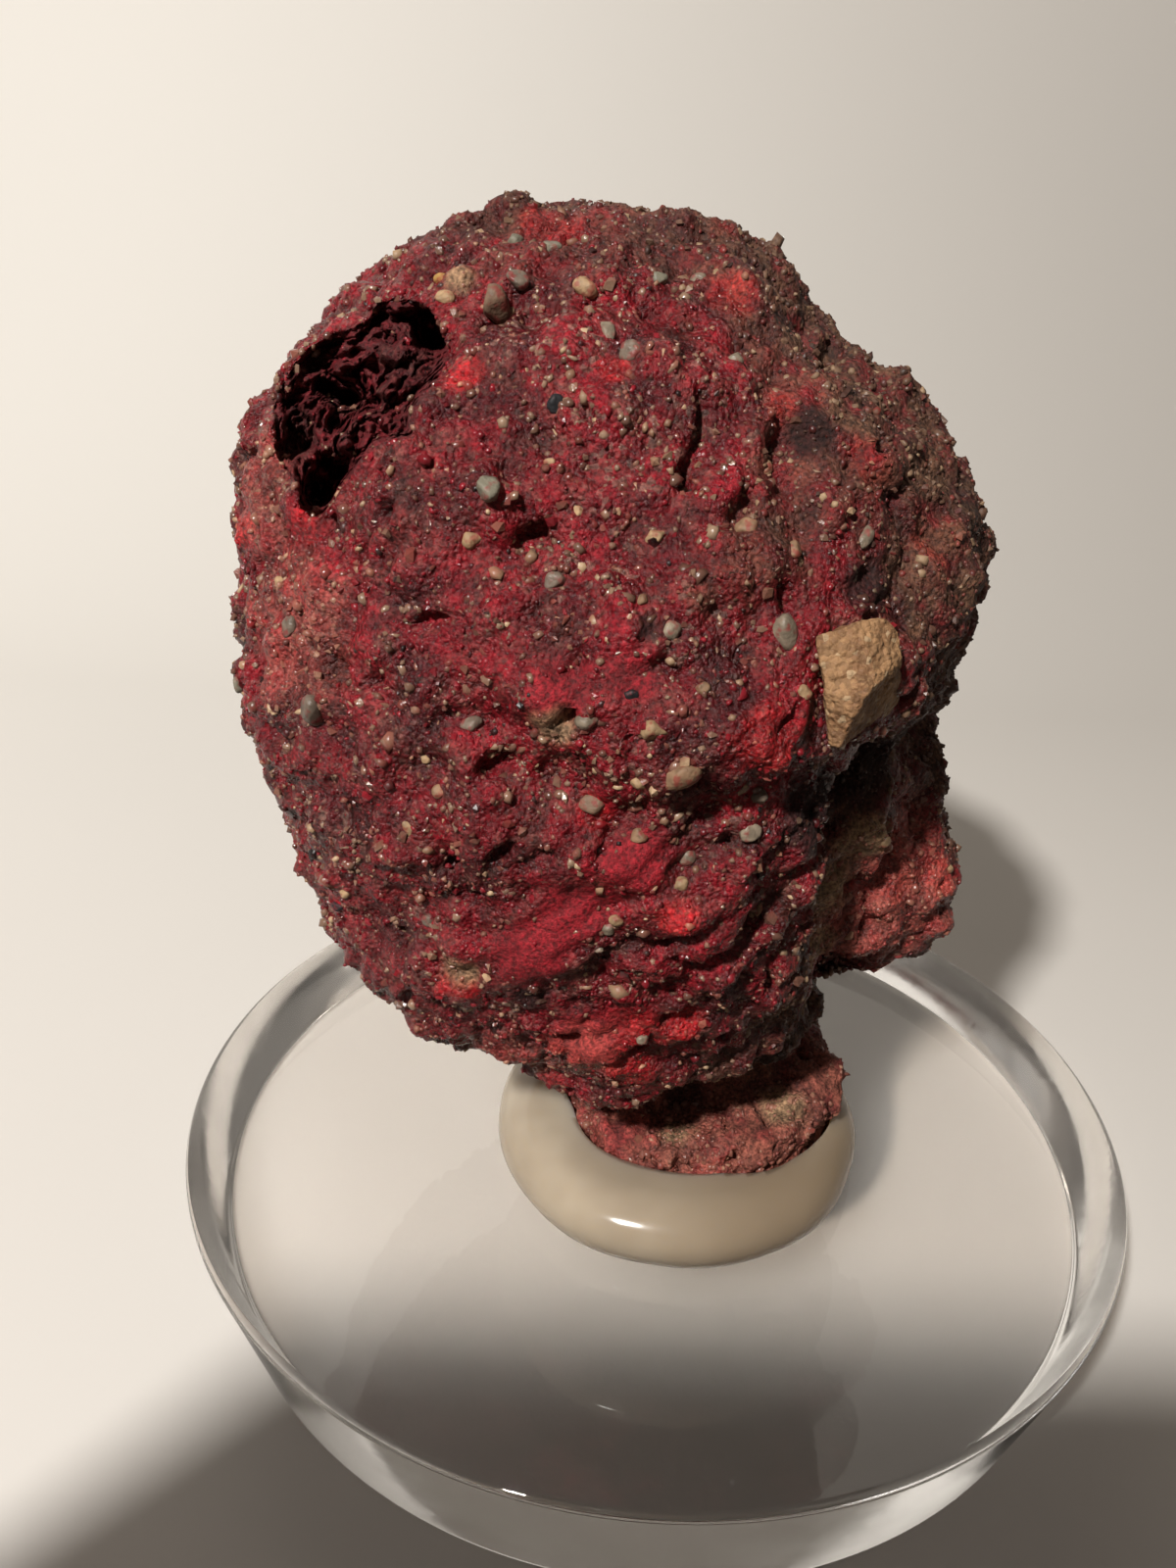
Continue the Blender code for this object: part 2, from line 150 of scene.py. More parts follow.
POWDERY_BAND = ((-9.6, -21.6, 35.4), (-3.6, -22.6, 41.0))
RIDGES = (
    ("ledge", LEDGE, 2.2, 0.7),
    ("undercut of the ledge", UNDERCUT, 1.9, -1.2),
    ("groove over the foot", FOOT_GROOVE, 1.8, -1.6),
    ("furrow beside the knob", KNOB_FURROW, 2.6, -2.2),
    ("band of the recess", RECESS_BAND, 2.0, -1.3),
    ("edge of the red face", RED_FACE_EDGE, 2.0, 0.6),
    ("diagonal fold, upper", UPPER_FOLD, 1.7, -0.7),
    ("diagonal fold, lower", LOWER_FOLD, 1.9, -0.8),
    ("powdery band", POWDERY_BAND, 2.2, 0.6),
)
LUMPINESS = ((9.0, 1.1), (4.6, 0.6))
LUMPINESS_GAIN = 2.2
LUMPINESS_LEVEL = 0.5
LUMPINESS_LEAST = 0.25
LUMPINESS_FADE = (16.0, 22.0)
LUMPINESS_SEED = 7

# Fine relief: size and height of each layer of nubs, then the pits and the slanting beds
NUBS = ((3.1, 0.75), (1.6, 0.42), (0.85, 0.18))
NUB_SEED = 31
PIT_SIZE = 1.9
PIT_START = 0.26
PIT_DEPTH = 1.0
BED_MIDDLE = (1.5, -21.0, 36.0)
BED_REACH = 11.0
BED_SIZE = 1.25
BED_HEIGHT = 0.55
BED_SLOPE = math.radians(33)

# Broken-open cavity: the outline of its mouth where it shows in the photograph, clockwise
MOUTH_OUTLINE = (
    (389, 309), (421, 306), (443, 319), (456, 348), (459, 367), (443, 392), (424, 418), (421, 447),
    (395, 451), (370, 469), (348, 498), (329, 526), (306, 517), (303, 494), (284, 469), (279, 421),
    (290, 392), (310, 360), (341, 341), (373, 329),
)
MOUTH_MIDDLE = (-18.1, -14.3, 62.3)
MOUTH_RAGGED = ((14.0, 5.0), (5.0, 3.0))
CAVITY_DEPTH = 2.4
CAVITY_RIM = 0.7
CAVITY_LEAD = 6.0
# Black pits and, with a depth below zero, ribs: where each shows, its radius there, and its depth
CAVITY_PITS = (
    ((438, 322), 13, 6.0), ((448, 348), 12, 7.0), ((434, 342), 11, 4.0), ((334, 396), 13, 5.0),
    ((358, 408), 15, 6.0), ((384, 412), 9, 2.6), ((344, 432), 10, 3.4), ((305, 428), 9, 3.2),
    ((290, 460), 8, 2.6), ((313, 452), 8, 2.6), ((326, 503), 17, 7.5), ((346, 480), 11, 6.0),
    ((330, 470), 8, 2.5), ((398, 345), 6, 1.6), ((408, 436), 13, -1.0), ((352, 452), 7, -1.2),
)
CAVITY_ROWS = 60
CAVITY_COLUMNS = 200
SPONGE = ((1.9, 1.5), (0.9, 1.1), (0.42, 0.7))

# Corners of the angular tan pebble
PEBBLE_CORNERS = (
    (4.9, -20.1, 53.8), (6.6, -19.8, 54.6), (8.3, -19.2, 54.7), (9.1, -19.1, 53.8), (9.2, -19.8, 52.6),
    (7.5, -21.5, 51.7), (6.8, -21.8, 50.8), (6.4, -21.6, 48.7), (5.9, -21.2, 48.7), (5.3, -21.1, 51.8),
    (10.1, -17.7, 50.0), (9.7, -17.6, 49.2), (8.4, -18.8, 48.7), (5.9, -16.8, 53.0),
    (8.5, -15.6, 53.2), (8.9, -15.6, 50.4), (6.3, -16.8, 49.8),
)

# Glue drop
GLUE_CENTRE = (1.5, -5.4)
GLUE_REACH = (13.0, 13.6)
GLUE_TOP = 14.2
GLUE_SHOULDER = 0.24
GLUE_UNDERSIDE = -0.20 * math.pi
GLUE_WIDEST = 0.37
GLUE_FLAT = 0.5

# Block: its bevel, how far its sides draw in towards its underside, and the lamp light it lets through
BLOCK_BEVEL = 0.5
BLOCK_TAPER = 2.6
BLOCK_LETS_THROUGH = (0.32, 0.285, 0.25, 1.0)

# Colours, as linear parts of red, green and blue
MAROON = (0.060, 0.004, 0.006)
CRIMSON = (0.205, 0.008, 0.014)
POWDER_RED = (0.26, 0.009, 0.016)
VERMILION = (0.44, 0.013, 0.017)
MAUVE = (0.14, 0.046, 0.036)
# Near black for painted shade, laid into recesses, holes and creases where shade falls
PAINTED_SHADE_BLACK = (0.012, 0.005, 0.004)
# Browns of the dirt, which also darken the right side as painted shade
BROWN_DIRT_AND_PAINTED_SHADE = (0.055, 0.024, 0.015)
PALE_DIRT_AND_PAINTED_SHADE = (0.105, 0.052, 0.028)
# Pink coat, which also lightens the knob face as painted light where the lamp leaves it in shade
ROSE_AND_PAINTED_LIGHT = (0.44, 0.115, 0.085)
# Tan dust, made lighter to stand as painted light on the tan patch beside the knob
TAN_DUST_AND_PAINTED_LIGHT = (0.33, 0.22, 0.12)
TAN_DUST_ON_GRAINS = (0.30, 0.165, 0.10)
PALE_SAND = (0.18, 0.10, 0.078)
PEBBLE_TONES = (0.165, 0.08, 0.036), (0.275, 0.15, 0.07)
PEBBLE_SAND = (0.38, 0.235, 0.12)
PEBBLE_SPECK = (0.45, 0.33, 0.20)
GLUE_TONES = (0.35, 0.29, 0.22), (0.42, 0.355, 0.275)
# Painted shade on the glue's right side
GLUE_PAINTED_SHADE_RIGHT = (0.23, 0.175, 0.12)
# Floor tones, darker near the camera and to the right as painted shade of the lamp's fall-off
FLOOR_PAINTED_FALLOFF_TONES = (0.66, 0.63, 0.60), (0.81, 0.78, 0.74)
FLOOR_PAINTED_SHADE_RIGHT = (0.47, 0.44, 0.41)
KNOB_FACE = (13.0, -9.0, 33.0)
CLAST_TINTS = {
    "cream": (0.31, 0.20, 0.11),
    "white": (0.185, 0.145, 0.105),
    "grey": (0.14, 0.105, 0.08),
    "brown": (0.17, 0.105, 0.068),
    "green": (0.15, 0.135, 0.10),
    "tan": (0.22, 0.13, 0.075),
    "yellow": (0.30, 0.17, 0.05),
    "black": (0.016, 0.016, 0.018),
}
GLOSSY_TINTS = ("white", "grey", "green")
CLAST_SIDES = 12
CLAST_REACH = 1.1
CLAST_SUNK = 0.25
CLAST_SEED = 23

# Stained patches of the crust, and patches of painted shade and painted light, by name: where each shows
# in the photograph, and its radius
STAINS_AND_PAINTED_LIGHT = {
    "glow": (
        (558, 236, 1.7), (628, 377, 0.9), (745, 300, 1.4), (790, 757, 2.4), (622, 1078, 3.8),
        (690, 1050, 1.6), (575, 1068, 1.8), (470, 1010, 1.4), (915, 905, 1.6), (962, 890, 1.8),
        (245, 540, 1.6), (312, 538, 1.3), (475, 385, 1.0), (795, 420, 1.1), (885, 470, 1.6),
        (960, 545, 1.8), (690, 940, 1.2), (610, 830, 1.0),
    ),
    "powder": (
        (640, 1150, 2.2), (770, 1150, 2.0), (845, 1110, 1.5), (540, 985, 2.6), (600, 1055, 2.6),
        (590, 935, 2.6), (650, 880, 2.0), (640, 690, 1.6), (575, 700, 1.8),
    ),
    "pale": (
        (660, 800, 3.0), (560, 775, 2.4), (740, 840, 3.2), (700, 640, 2.4), (600, 560, 3.4),
        (640, 450, 3.6), (560, 340, 3.2), (740, 410, 3.0), (420, 950, 2.4), (300, 740, 2.6),
        (935, 850, 4.4), (700, 1150, 4.0), (290, 620, 4.0), (262, 800, 3.6), (330, 860, 3.0),
        (260, 480, 3.6),
    ),
    # Tan dust; on the patch beside the knob it is also painted light
    "dust_and_painted_light": (
        (474, 988, 1.3), (566, 742, 1.2), (850, 915, 3.0), (880, 860, 2.2), (835, 965, 2.0),
        (470, 285, 0.9), (870, 1010, 1.6), (690, 1160, 1.5), (800, 1130, 2.0), (845, 1060, 2.6),
    ),
    # Dirt, which also darkens the right side of the nodule as painted shade
    "dirt_and_painted_shade": (
        (800, 340, 4.0), (830, 470, 4.0), (790, 560, 3.0), (745, 590, 2.2), (880, 390, 4.0),
        (930, 560, 4.0), (690, 250, 3.4),
    ),
    # Pink coat; through its zone below, the same coat also lightens the knob face as painted light
    "rose_coat_and_painted_light": (
        (530, 1085, 3.4), (600, 1075, 3.0), (290, 640, 5.0), (270, 800, 4.0), (262, 500, 3.6),
    ),
    # Painted shade: near-black patches in the recess under the pebble, the groove over the foot, the
    # slot and other holes
    "painted_recess_shade": (
        (541, 1017, 1.4), (885, 780, 3.2), (830, 830, 2.8), (700, 1115, 1.6), (780, 1085, 1.6),
        (880, 600, 1.8), (828, 440, 1.4), (660, 640, 0.9),
    ),
}
# Zones of the stains and of the painted shade and light, each from where it begins to where it is full:
# distances and heights
FAR_SIDE_ZONE = (-3.5, 3.0)
KNOB_CLEAN_ZONE = (6.0, 10.0)
# Painted light: the pink coat lightens the knob face, which the lamp leaves in shade
KNOB_ROSE_AND_PAINTED_LIGHT_ZONE = (4.0, 8.5)
FOOT_ZONE = (15.5, 21.0)
CROWN_ZONE = (68.5, 72.0)
MOUTH_ZONE = (13.0, 15.0)
# Painted shade: heights of the fine relief over which its creases turn dark
PAINTED_CREASE_SHADE_ZONE = (-0.75, 0.05)
# Names of the stains and of the painted shade and light, for the crust, then for the grains
STAIN_AND_PAINTED_LIGHT_NAMES = ("dirt_and_painted_shade", "glow", "powder", "pale", "dust_and_painted_light", "painted_recess_shade", "rose_coat_and_painted_light", "cavity", "crease")
GRAIN_STAINS_AND_PAINTED_LIGHT = ("dirt_and_painted_shade", "glow", "dust_and_painted_light", "painted_recess_shade", "rose_coat_and_painted_light", "crease")

# Clasts that stand out: tint, where each shows in the photograph, width, height and turn in degrees
CLASTS = (
    ("grey", (318, 727), 1.5, 2.1, -15),
    ("brown", (505, 315), 1.6, 2.2, 10),
    ("green", (526, 246), 1.1, 0.9, 0),
    ("green", (562, 252), 1.1, 1.3, 30),
    ("grey", (530, 284), 1.3, 1.0, 0),
    ("yellow", (450, 284), 1.3, 0.7, -20),
    ("cream", (453, 303), 1.2, 0.8, -10),
    ("cream", (480, 551), 1.2, 0.9, -10),
    ("cream", (353, 912), 0.9, 0.8, 0),
    ("cream", (416, 844), 0.6, 1.6, 35),
    ("cream", (665, 748), 1.5, 1.1, 15),
    ("white", (620, 337), 0.8, 1.3, 0),
    ("cream", (597, 293), 1.4, 1.2, 0),
    ("cream", (669, 547), 1.1, 0.9, 10),
    ("tan", (760, 536), 1.1, 1.3, 0),
    ("white", (750, 365), 1.0, 0.8, 0),
    ("tan", (692, 792), 2.3, 1.5, 20),
    ("black", (568, 412), 1.1, 0.9, 0),
    ("black", (344, 925), 0.9, 0.7, 0),
    ("grey", (437, 940), 0.9, 0.8, 0),
    ("white", (767, 849), 1.2, 1.2, 0),
    ("green", (499, 498), 1.2, 1.5, 10),
    ("white", (803, 648), 1.3, 2.3, 18),
    ("white", (686, 643), 1.2, 1.0, 0),
    ("white", (599, 737), 1.1, 1.5, 0),
    ("cream", (653, 801), 1.0, 0.8, 0),
    ("grey", (777, 813), 1.1, 0.9, 0),
    ("white", (700, 876), 1.1, 1.0, 0),
    ("cream", (696, 901), 0.7, 1.1, -30),
    ("tan", (774, 928), 0.5, 0.9, 0),
    ("tan", (651, 852), 1.0, 0.8, 0),
    ("brown", (601, 821), 1.5, 1.1, 0),
    ("white", (612, 969), 0.6, 0.4, 0),
    ("white", (621, 948), 0.8, 0.8, 0),
    ("cream", (629, 940), 0.8, 0.6, 0),
    ("cream", (820, 705), 0.9, 0.8, 0),
    ("green", (243, 700), 0.9, 1.1, 0),
    ("grey", (480, 739), 1.3, 0.8, 10),
    ("grey", (294, 640), 0.9, 1.4, -30),
    ("tan", (447, 808), 0.8, 0.7, 0),
    ("cream", (434, 775), 0.6, 0.5, 0),
    ("grey", (567, 592), 1.4, 0.9, 15),
    ("cream", (561, 472), 0.7, 0.5, 0),
    ("cream", (590, 521), 0.6, 0.7, 0),
    ("white", (883, 550), 0.8, 1.5, -30),
    ("grey", (642, 358), 1.4, 1.1, 0),
    ("green", (674, 284), 1.1, 0.9, 0),
    ("white", (713, 284), 0.9, 0.7, 0),
    ("tan", (655, 612), 0.7, 0.6, 0),
    ("tan", (782, 479), 0.7, 1.0, 0),
    ("tan", (811, 560), 0.9, 1.0, 0),
    ("tan", (717, 703), 0.8, 0.7, 0),
    ("black", (645, 708), 0.9, 0.6, 0),
    ("cream", (286, 594), 0.9, 1.0, 0),
    ("tan", (905, 845), 0.8, 0.9, 0),
    ("cream", (903, 860), 0.9, 0.7, 20),
    ("cream", (968, 885), 0.9, 0.8, 0),
    ("white", (656, 1062), 0.8, 0.7, 0),
)

# Floor: its gap below the block, which would be black if they touched, and its curve up into the wall
FLOOR_GAP = 0.1
FLOOR_BEND = 150.0
FLOOR_LEVEL_TO = 110.0
FLOOR_REACH = 1500.0

# Lamp: its place, aim, power, size and beam; and the faint light of the room
KEY_PLACE = (-156.0, -299.0, 349.0)
KEY_AIM = (-60.0, 330.0, 150.0)
KEY_POWER = 12.6
KEY_RADIUS = 16
KEY_COLOUR = (1.0, 0.97, 0.92)
KEY_HALF_ANGLE = math.radians(40)
KEY_BLEND = 0.16
SKY_COLOUR = (1.0, 0.88, 0.76)
SKY_STRENGTH = 0.13
INNER_REFLECTIONS = 12
# A card behind the camera keeps the lamp off the front: its place, and its shadow's edge on the floor
CARD_PLACE = -82.0
CARD_LOW = 20.0
SHADOW_LEFT = (-38.6, -31.4)
SHADOW_CORNER = (-24.6, -15.9)
SHADOW_RIGHT = (36.9, -14.9)

# Sand grains: how far apart they sit, their usual width and its spread, the share with flat faces,
# how low they reach, and how many are tried and go into one piece
GRAIN_STEP = 0.37
GRAIN_WIDTH = 0.33
GRAIN_SPREAD = 0.32
GRAIN_CRYSTALS = 0.3
GRAIN_LOWEST = 13.6
GRAIN_SEED = 11
GRAIN_CANDIDATES = 260000
GRAINS_A_PIECE = 12300
# Their kinds: name, dark tone, light tone, least roughness and specular level
GRAIN_KINDS = (
    ("cinnabar_grains", (0.07, 0.006, 0.008), (0.24, 0.012, 0.020), 0.24, 0.4),
    ("quartz_grains", (0.10, 0.045, 0.032), (0.27, 0.175, 0.115), 0.13, 0.5),
    ("cream_grains", (0.17, 0.09, 0.055), (0.46, 0.32, 0.19), 0.35, 0.4),
    ("dark_grains", (0.010, 0.007, 0.007), (0.05, 0.026, 0.022), 0.25, 0.4),
)


def spline(stops, where):
    """A smooth curve through evenly spaced stops, read at the given places (Catmull-Rom)."""
    stops = np.asarray(stops, float)
    padded = np.vstack([2 * stops[0] - stops[1], stops, 2 * stops[-1] - stops[-2]])
    start = np.clip(np.floor(where).astype(int), 0, len(stops) - 2)
    part = (where - start)[:, None]
    before, first, second, after = (padded[start + step] for step in range(4))
    bend = 2 * before - 5 * first + 4 * second - after
    turn = 3 * (first - second) + after - before
    return first + 0.5 * part * (second - before + part * (bend + part * turn))


def spread(x, y, z):
    """Points from their three coordinates, spread to one shape."""
    return np.stack(np.broadcast_arrays(x, y, z), -1)


def swell(reach, other, blend):
    """The farther of two reaches, with the notch between them filled over `blend`."""
    near = np.clip(blend - np.abs(reach - other), 0.0, None) / blend
    return np.maximum(reach, other) + near ** 2 * blend / 4


def ball_reach(start, direction, middle, half):
    """How far rays run before they leave an ellipsoid, or 0 where they miss it."""
    offset = (start - np.array(middle)) / np.array(half)
    step = direction / np.array(half)
    square = (step ** 2).sum(-1)
    along = (offset * step).sum(-1)
    inside = along ** 2 - square * ((offset ** 2).sum(-1) - 1.0)
    return np.where(inside > 0, (-along + np.sqrt(np.clip(inside, 0, None))) / square, 0.0)


def lattice_noise(points, size, seed):
    """Smooth noise: random slopes at the corners of cubes `size` wide, blended inside each."""
    table = np.random.RandomState(seed).permutation(256)
    slopes = np.random.RandomState(seed + 1).normal(size=(256, 3))
    slopes /= np.linalg.norm(slopes, axis=1)[:, None]
    place = points / size
    cell = np.floor(place).astype(int)
    part = place - cell
    fade = part ** 3 * (part * (part * 6 - 15) + 10)
    total = np.zeros(points.shape[:-1])
    for corner in np.ndindex(2, 2, 2):
        at = cell + corner
        key = table[(table[(table[at[..., 0] % 256] + at[..., 1]) % 256] + at[..., 2]) % 256]
        slope = (slopes[key] * (part - corner)).sum(-1)
        weight = np.where(corner, fade, 1 - fade).prod(-1)
        total += weight * slope
    return total


def ease(value, low, high):
    """0 below `low`, 1 above `high`, and a smooth step between them."""
    part = np.clip((value - low) / (high - low), 0.0, 1.0)
    return part * part * (3 - 2 * part)


def path_distance(points, path):
    """Distance from each point to the nearest stretch of a path."""
    path = np.asarray(path, float)
    nearest = np.full(points.shape[:-1], np.inf)
    for first, second in zip(path[:-1], path[1:]):
        run = second - first
        along = np.clip(((points - first) @ run) / (run @ run), 0, 1)
        nearest = np.minimum(nearest, np.linalg.norm(points - first - along[..., None] * run, axis=-1))
    return nearest


def outward(grid):
    """Unit normals of stacked rings."""
    round_step = np.roll(grid, -1, 1) - np.roll(grid, 1, 1)
    up_step = np.gradient(grid, axis=0)
    normal = np.cross(round_step, up_step)
    return normal / (np.linalg.norm(normal, axis=-1, keepdims=True) + 1e-9)


def closed_faces(rows, columns):
    """Triangles of rings stacked upwards, closed by a pole below them and one above."""
    row, column = np.mgrid[: rows - 1, :columns]
    here, right = row * columns + column, row * columns + (column + 1) % columns
    lower = np.stack([here, right, right + columns], -1).reshape(-1, 3)
    upper = np.stack([here, right + columns, here + columns], -1).reshape(-1, 3)
    ring = np.arange(columns)
    after = (ring + 1) % columns
    last = (rows - 1) * columns
    low_fan = np.stack([0 * ring + rows * columns, after, ring], -1)
    high_fan = np.stack([0 * ring + rows * columns + 1, last + ring, last + after], -1)
    return np.vstack([lower, upper, low_fan, high_fan])


def closed_surface(grid, low_pole=None, high_pole=None):
    """Points and triangles of stacked rings and two poles: the end rings' middles, unless given."""
    low_pole = grid[0].mean(0) if low_pole is None else low_pole
    high_pole = grid[-1].mean(0) if high_pole is None else high_pole
    points = np.vstack([grid.reshape(-1, 3), low_pole, high_pole])
    return points, closed_faces(*grid.shape[:2])


def add_nubs(height, points, layers, seed, fade=1.0):
    """Raise a height by layers of nubs: each is the size of the noise at its scale, less a level."""
    for octave, (size, rise) in enumerate(layers):
        bumpy = np.abs(lattice_noise(points, size, seed + 2 * octave))
        height += fade * rise * (LUMPINESS_GAIN * bumpy - LUMPINESS_LEVEL)


def coarse_relief(points):
    """How far the lumps, hollows, ridges and grooves stand out of the plain form."""
    height = np.zeros(points.shape[:-1])
    for _, middle, radius, rise in LUMPS:
        distance = np.linalg.norm(points - np.array(middle), axis=-1)
        height += rise * np.exp(-(distance / radius) ** 2)
    for _, path, radius, rise in RIDGES:
        height += rise * np.exp(-(path_distance(points, path) / radius) ** 2)
    low, high = LUMPINESS_FADE
    fade = np.clip((points[..., 2] - low) / (high - low), LUMPINESS_LEAST, 1.0)
    add_nubs(height, points, LUMPINESS, LUMPINESS_SEED, fade)
    return height


def fine_relief(points):
    """Nubs as the size of noise at three scales, pits where noise is high, and slanting beds."""
    height = np.zeros(points.shape[:-1])
    add_nubs(height, points, NUBS, NUB_SEED)
    smooth = np.exp(-(path_distance(points, POWDERY_BAND) / 2.6) ** 2)
    height *= 1 - 0.7 * smooth
    pits = ease(lattice_noise(points, PIT_SIZE, NUB_SEED + 8), PIT_START, PIT_START + 0.16)
    height -= PIT_DEPTH * pits * (1 - smooth)
    offset = points - np.array(BED_MIDDLE)
    along = offset[..., 0] * math.cos(BED_SLOPE) + offset[..., 2] * math.sin(BED_SLOPE)
    across = offset[..., 2] * math.cos(BED_SLOPE) - offset[..., 0] * math.sin(BED_SLOPE)
    stretched = np.stack([along / 4, offset[..., 1] / 2, across], -1)
    near = np.exp(-(np.linalg.norm(offset, axis=-1) / BED_REACH) ** 2)
    height += near * BED_HEIGHT * 2 * lattice_noise(stretched, BED_SIZE, NUB_SEED + 12)
    return height


def nodule_grid(rows, columns):
    """Rings of points round the nodule's plain form, evenly spaced along its profile."""
    fine = np.linspace(0, len(NODULE_CUTS) - 1, PROFILE_STEPS)
    cuts = spline(NODULE_CUTS, fine)
    travel = np.hypot(np.diff(cuts[:, 0]), np.diff(cuts[:, 3] + cuts[:, 1]) / 2)
    travel = np.concatenate([[0], np.cumsum(travel)])
    where = np.interp(np.linspace(0, travel[-1], rows), travel, fine)
    height, left, right, front, back = spline(NODULE_CUTS, where).T[:, :, None]
    angle = np.linspace(0, 2 * math.pi, columns, endpoint=False)[None, :]
    half_x, half_y = (right - left) / 2, (back - front) / 2
    across, deep = np.cos(angle), np.sin(angle)
    power = NODULE_SQUARENESS
    reach = (np.abs(across / half_x) ** power + np.abs(deep / half_y) ** power) ** (-1 / power)
    start = spread((left + right) / 2, (front + back) / 2, height + 0 * angle)
    direction = spread(across, deep, 0 * reach)
    for _, middle, half, blend in LOBES:
        reach = swell(reach, ball_reach(start, direction, middle, half), blend)
    return start + direction * reach[:, :, None]


def crust_surface():
    """The nodule: its plain form and a cap of shrinking rings, moved out by both reliefs in turn."""
    rings = nodule_grid(NODULE_ROWS, NODULE_COLUMNS)
    part = (np.arange(1, CAP_ROWS + 1) / (CAP_ROWS + 1))[:, None, None]
    cap = rings[-1] + part * (np.array(NODULE_TOP) - rings[-1])
    grid = np.concatenate([rings, cap])
    fade = np.concatenate([np.ones(len(rings)), 1 - part[:, 0, 0]])[:, None]
    fade[0] = 0.0
    grid = grid + outward(grid) * (fade * coarse_relief(grid))[..., None]
    grid = grid + outward(grid) * (fade * fine_relief(grid))[..., None]
    return closed_surface(grid)


def ball_directions(rows, columns):
    """Unit vectors over a sphere, in rings from the bottom up, without the poles."""
    tilt = np.linspace(-math.pi / 2, math.pi / 2, rows + 2)[1:-1, None]
    angle = np.linspace(0, 2 * math.pi, columns, endpoint=False)[None, :]
    level = np.cos(tilt)
    return spread(level * np.cos(angle), level * np.sin(angle), np.sin(tilt))


def round_surface(middle, reach_of, rows, columns):
    """A closed surface whose reach from its middle is a function of the direction."""
    grid = ball_directions(rows, columns)
    poles = np.array([[0.0, 0.0, -1.0], [0.0, 0.0, 1.0]])
    ends = middle + poles * reach_of(poles)[..., None]
    return closed_surface(middle + grid * reach_of(grid)[..., None], ends[0], ends[1])


def cavity_surface(tree):
    """The hollow: a tube along the view with the mouth's outline, ended by a spongy, pitted floor.

    The floor runs at a depth behind the unbroken crust, which is deeper by a bell curve at each pit.
    """
    corners = np.array(MOUTH_OUTLINE[::-1], float)
    stops = np.vstack([corners, corners[:3]])
    outline = spline(stops, np.linspace(1, 1 + len(corners), CAVITY_COLUMNS, endpoint=False))
    for size, reach in MOUTH_RAGGED:
        spots = np.hstack([outline, 0 * outline[:, :1]])
        for side in (0, 1):
            outline[:, side] += reach * lattice_noise(spots, size, NUB_SEED + 30 + side)
    middle = outline.mean(0)
    shrink = np.linspace(0.03, 1.0, CAVITY_ROWS)[:, None] ** 0.8
    pixels = middle + shrink[..., None] * (outline - middle)
    depth = CAVITY_RIM + CAVITY_DEPTH * ease(1 - shrink, 0.0, 0.2) * np.ones(CAVITY_COLUMNS)
    for pixel, radius, deeper in CAVITY_PITS:
        distance = np.linalg.norm(pixels - np.array(pixel), axis=-1) / radius
        depth += deeper * np.exp(-distance ** 2)
    rays = view_ray(pixels)
    start = np.array(CAMERA_PLACE)
    spacing = np.array([
        [tree.ray_cast(Vector(start), Vector(ray))[3] or np.nan for ray in ring] for ring in rays
    ])
    spacing = np.where(np.isnan(spacing), np.nanmax(spacing), spacing)
    wall = start + rays * (spacing + depth)[..., None]
    for octave, (size, rise) in enumerate(SPONGE):
        bumpy = ease(lattice_noise(wall, size, NUB_SEED + 20 + octave), -0.05, 0.25) - 0.4
        depth += rise * bumpy * ease(1 - shrink, 0.0, 0.08)
    grid = start + rays * (spacing + np.clip(depth, CAVITY_RIM, None))[..., None]
    lead = start + rays[-1:] * (spacing[-1:] - CAVITY_LEAD)[..., None]
    return closed_surface(np.concatenate([grid, lead]))


def flat_sided(planes, softness):
    """A reach that stops at the nearest of several planes, their edges rounded by a soft minimum."""
    normals, distances = planes

    def reach_of(direction):
        facing = np.clip(direction @ normals.T, 1e-3, None)
        near = distances / facing
        return -softness * np.log(np.exp(-near / softness).sum(-1))

    return reach_of


def fill_mesh(name, points, faces):
    """A mesh of triangles, from points in millimetres."""
    mesh = bpy.data.meshes.new(name)
    mesh.vertices.add(len(points))
    mesh.vertices.foreach_set("co", (np.asarray(points, np.float32) * MM).ravel())
    mesh.loops.add(faces.size)
    mesh.loops.foreach_set("vertex_index", faces.astype(np.int32).ravel())
    mesh.polygons.add(len(faces))
    mesh.polygons.foreach_set("loop_start", np.arange(0, faces.size, 3, dtype=np.int32))
    mesh.update(calc_edges=True)
    mesh.validate()
    return mesh


def make_object(name, mesh, material=None, smooth=True):
    """Put a mesh into the scene under its own name."""
    if material:
        mesh.materials.append(material)
    mesh.polygons.foreach_set("use_smooth", np.full(len(mesh.polygons), smooth))
    thing = bpy.data.objects.new(name, mesh)
    bpy.context.scene.collection.objects.link(thing)
    return thing


def settle(thing, slot, *replaced):
    """A piece of the specimen: it rides on the body and stands for CAD nodes, which it hides; the slot
    it is given is not used.
    """
    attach(thing, BODY)
    if replaced:
        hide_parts(*replaced)


def carve(thing, *cutters):
    """Take the cutters' shapes out of a thing and keep the result as its mesh."""
    for points, faces in cutters:
        cutter = make_object("cutter", fill_mesh("cutter", points, faces))
        modifier = thing.modifiers.new("cut", "BOOLEAN")
        modifier.operation = "DIFFERENCE"
        modifier.solver = "MANIFOLD"
        modifier.object = cutter
    evaluated = thing.evaluated_get(bpy.context.evaluated_depsgraph_get())
    old = thing.data
    thing.data = bpy.data.meshes.new_from_object(evaluated)
    thing.modifiers.clear()
    bpy.data.meshes.remove(old)
    for cutter in [each for each in bpy.data.objects if each.name.startswith("cutter")]:
        bpy.data.objects.remove(cutter)


def read_points(mesh):
    """A mesh's points in millimetres."""
    points = np.zeros(len(mesh.vertices) * 3, np.float32)
    mesh.vertices.foreach_get("co", points)
    return points.reshape(-1, 3).astype(float) / MM


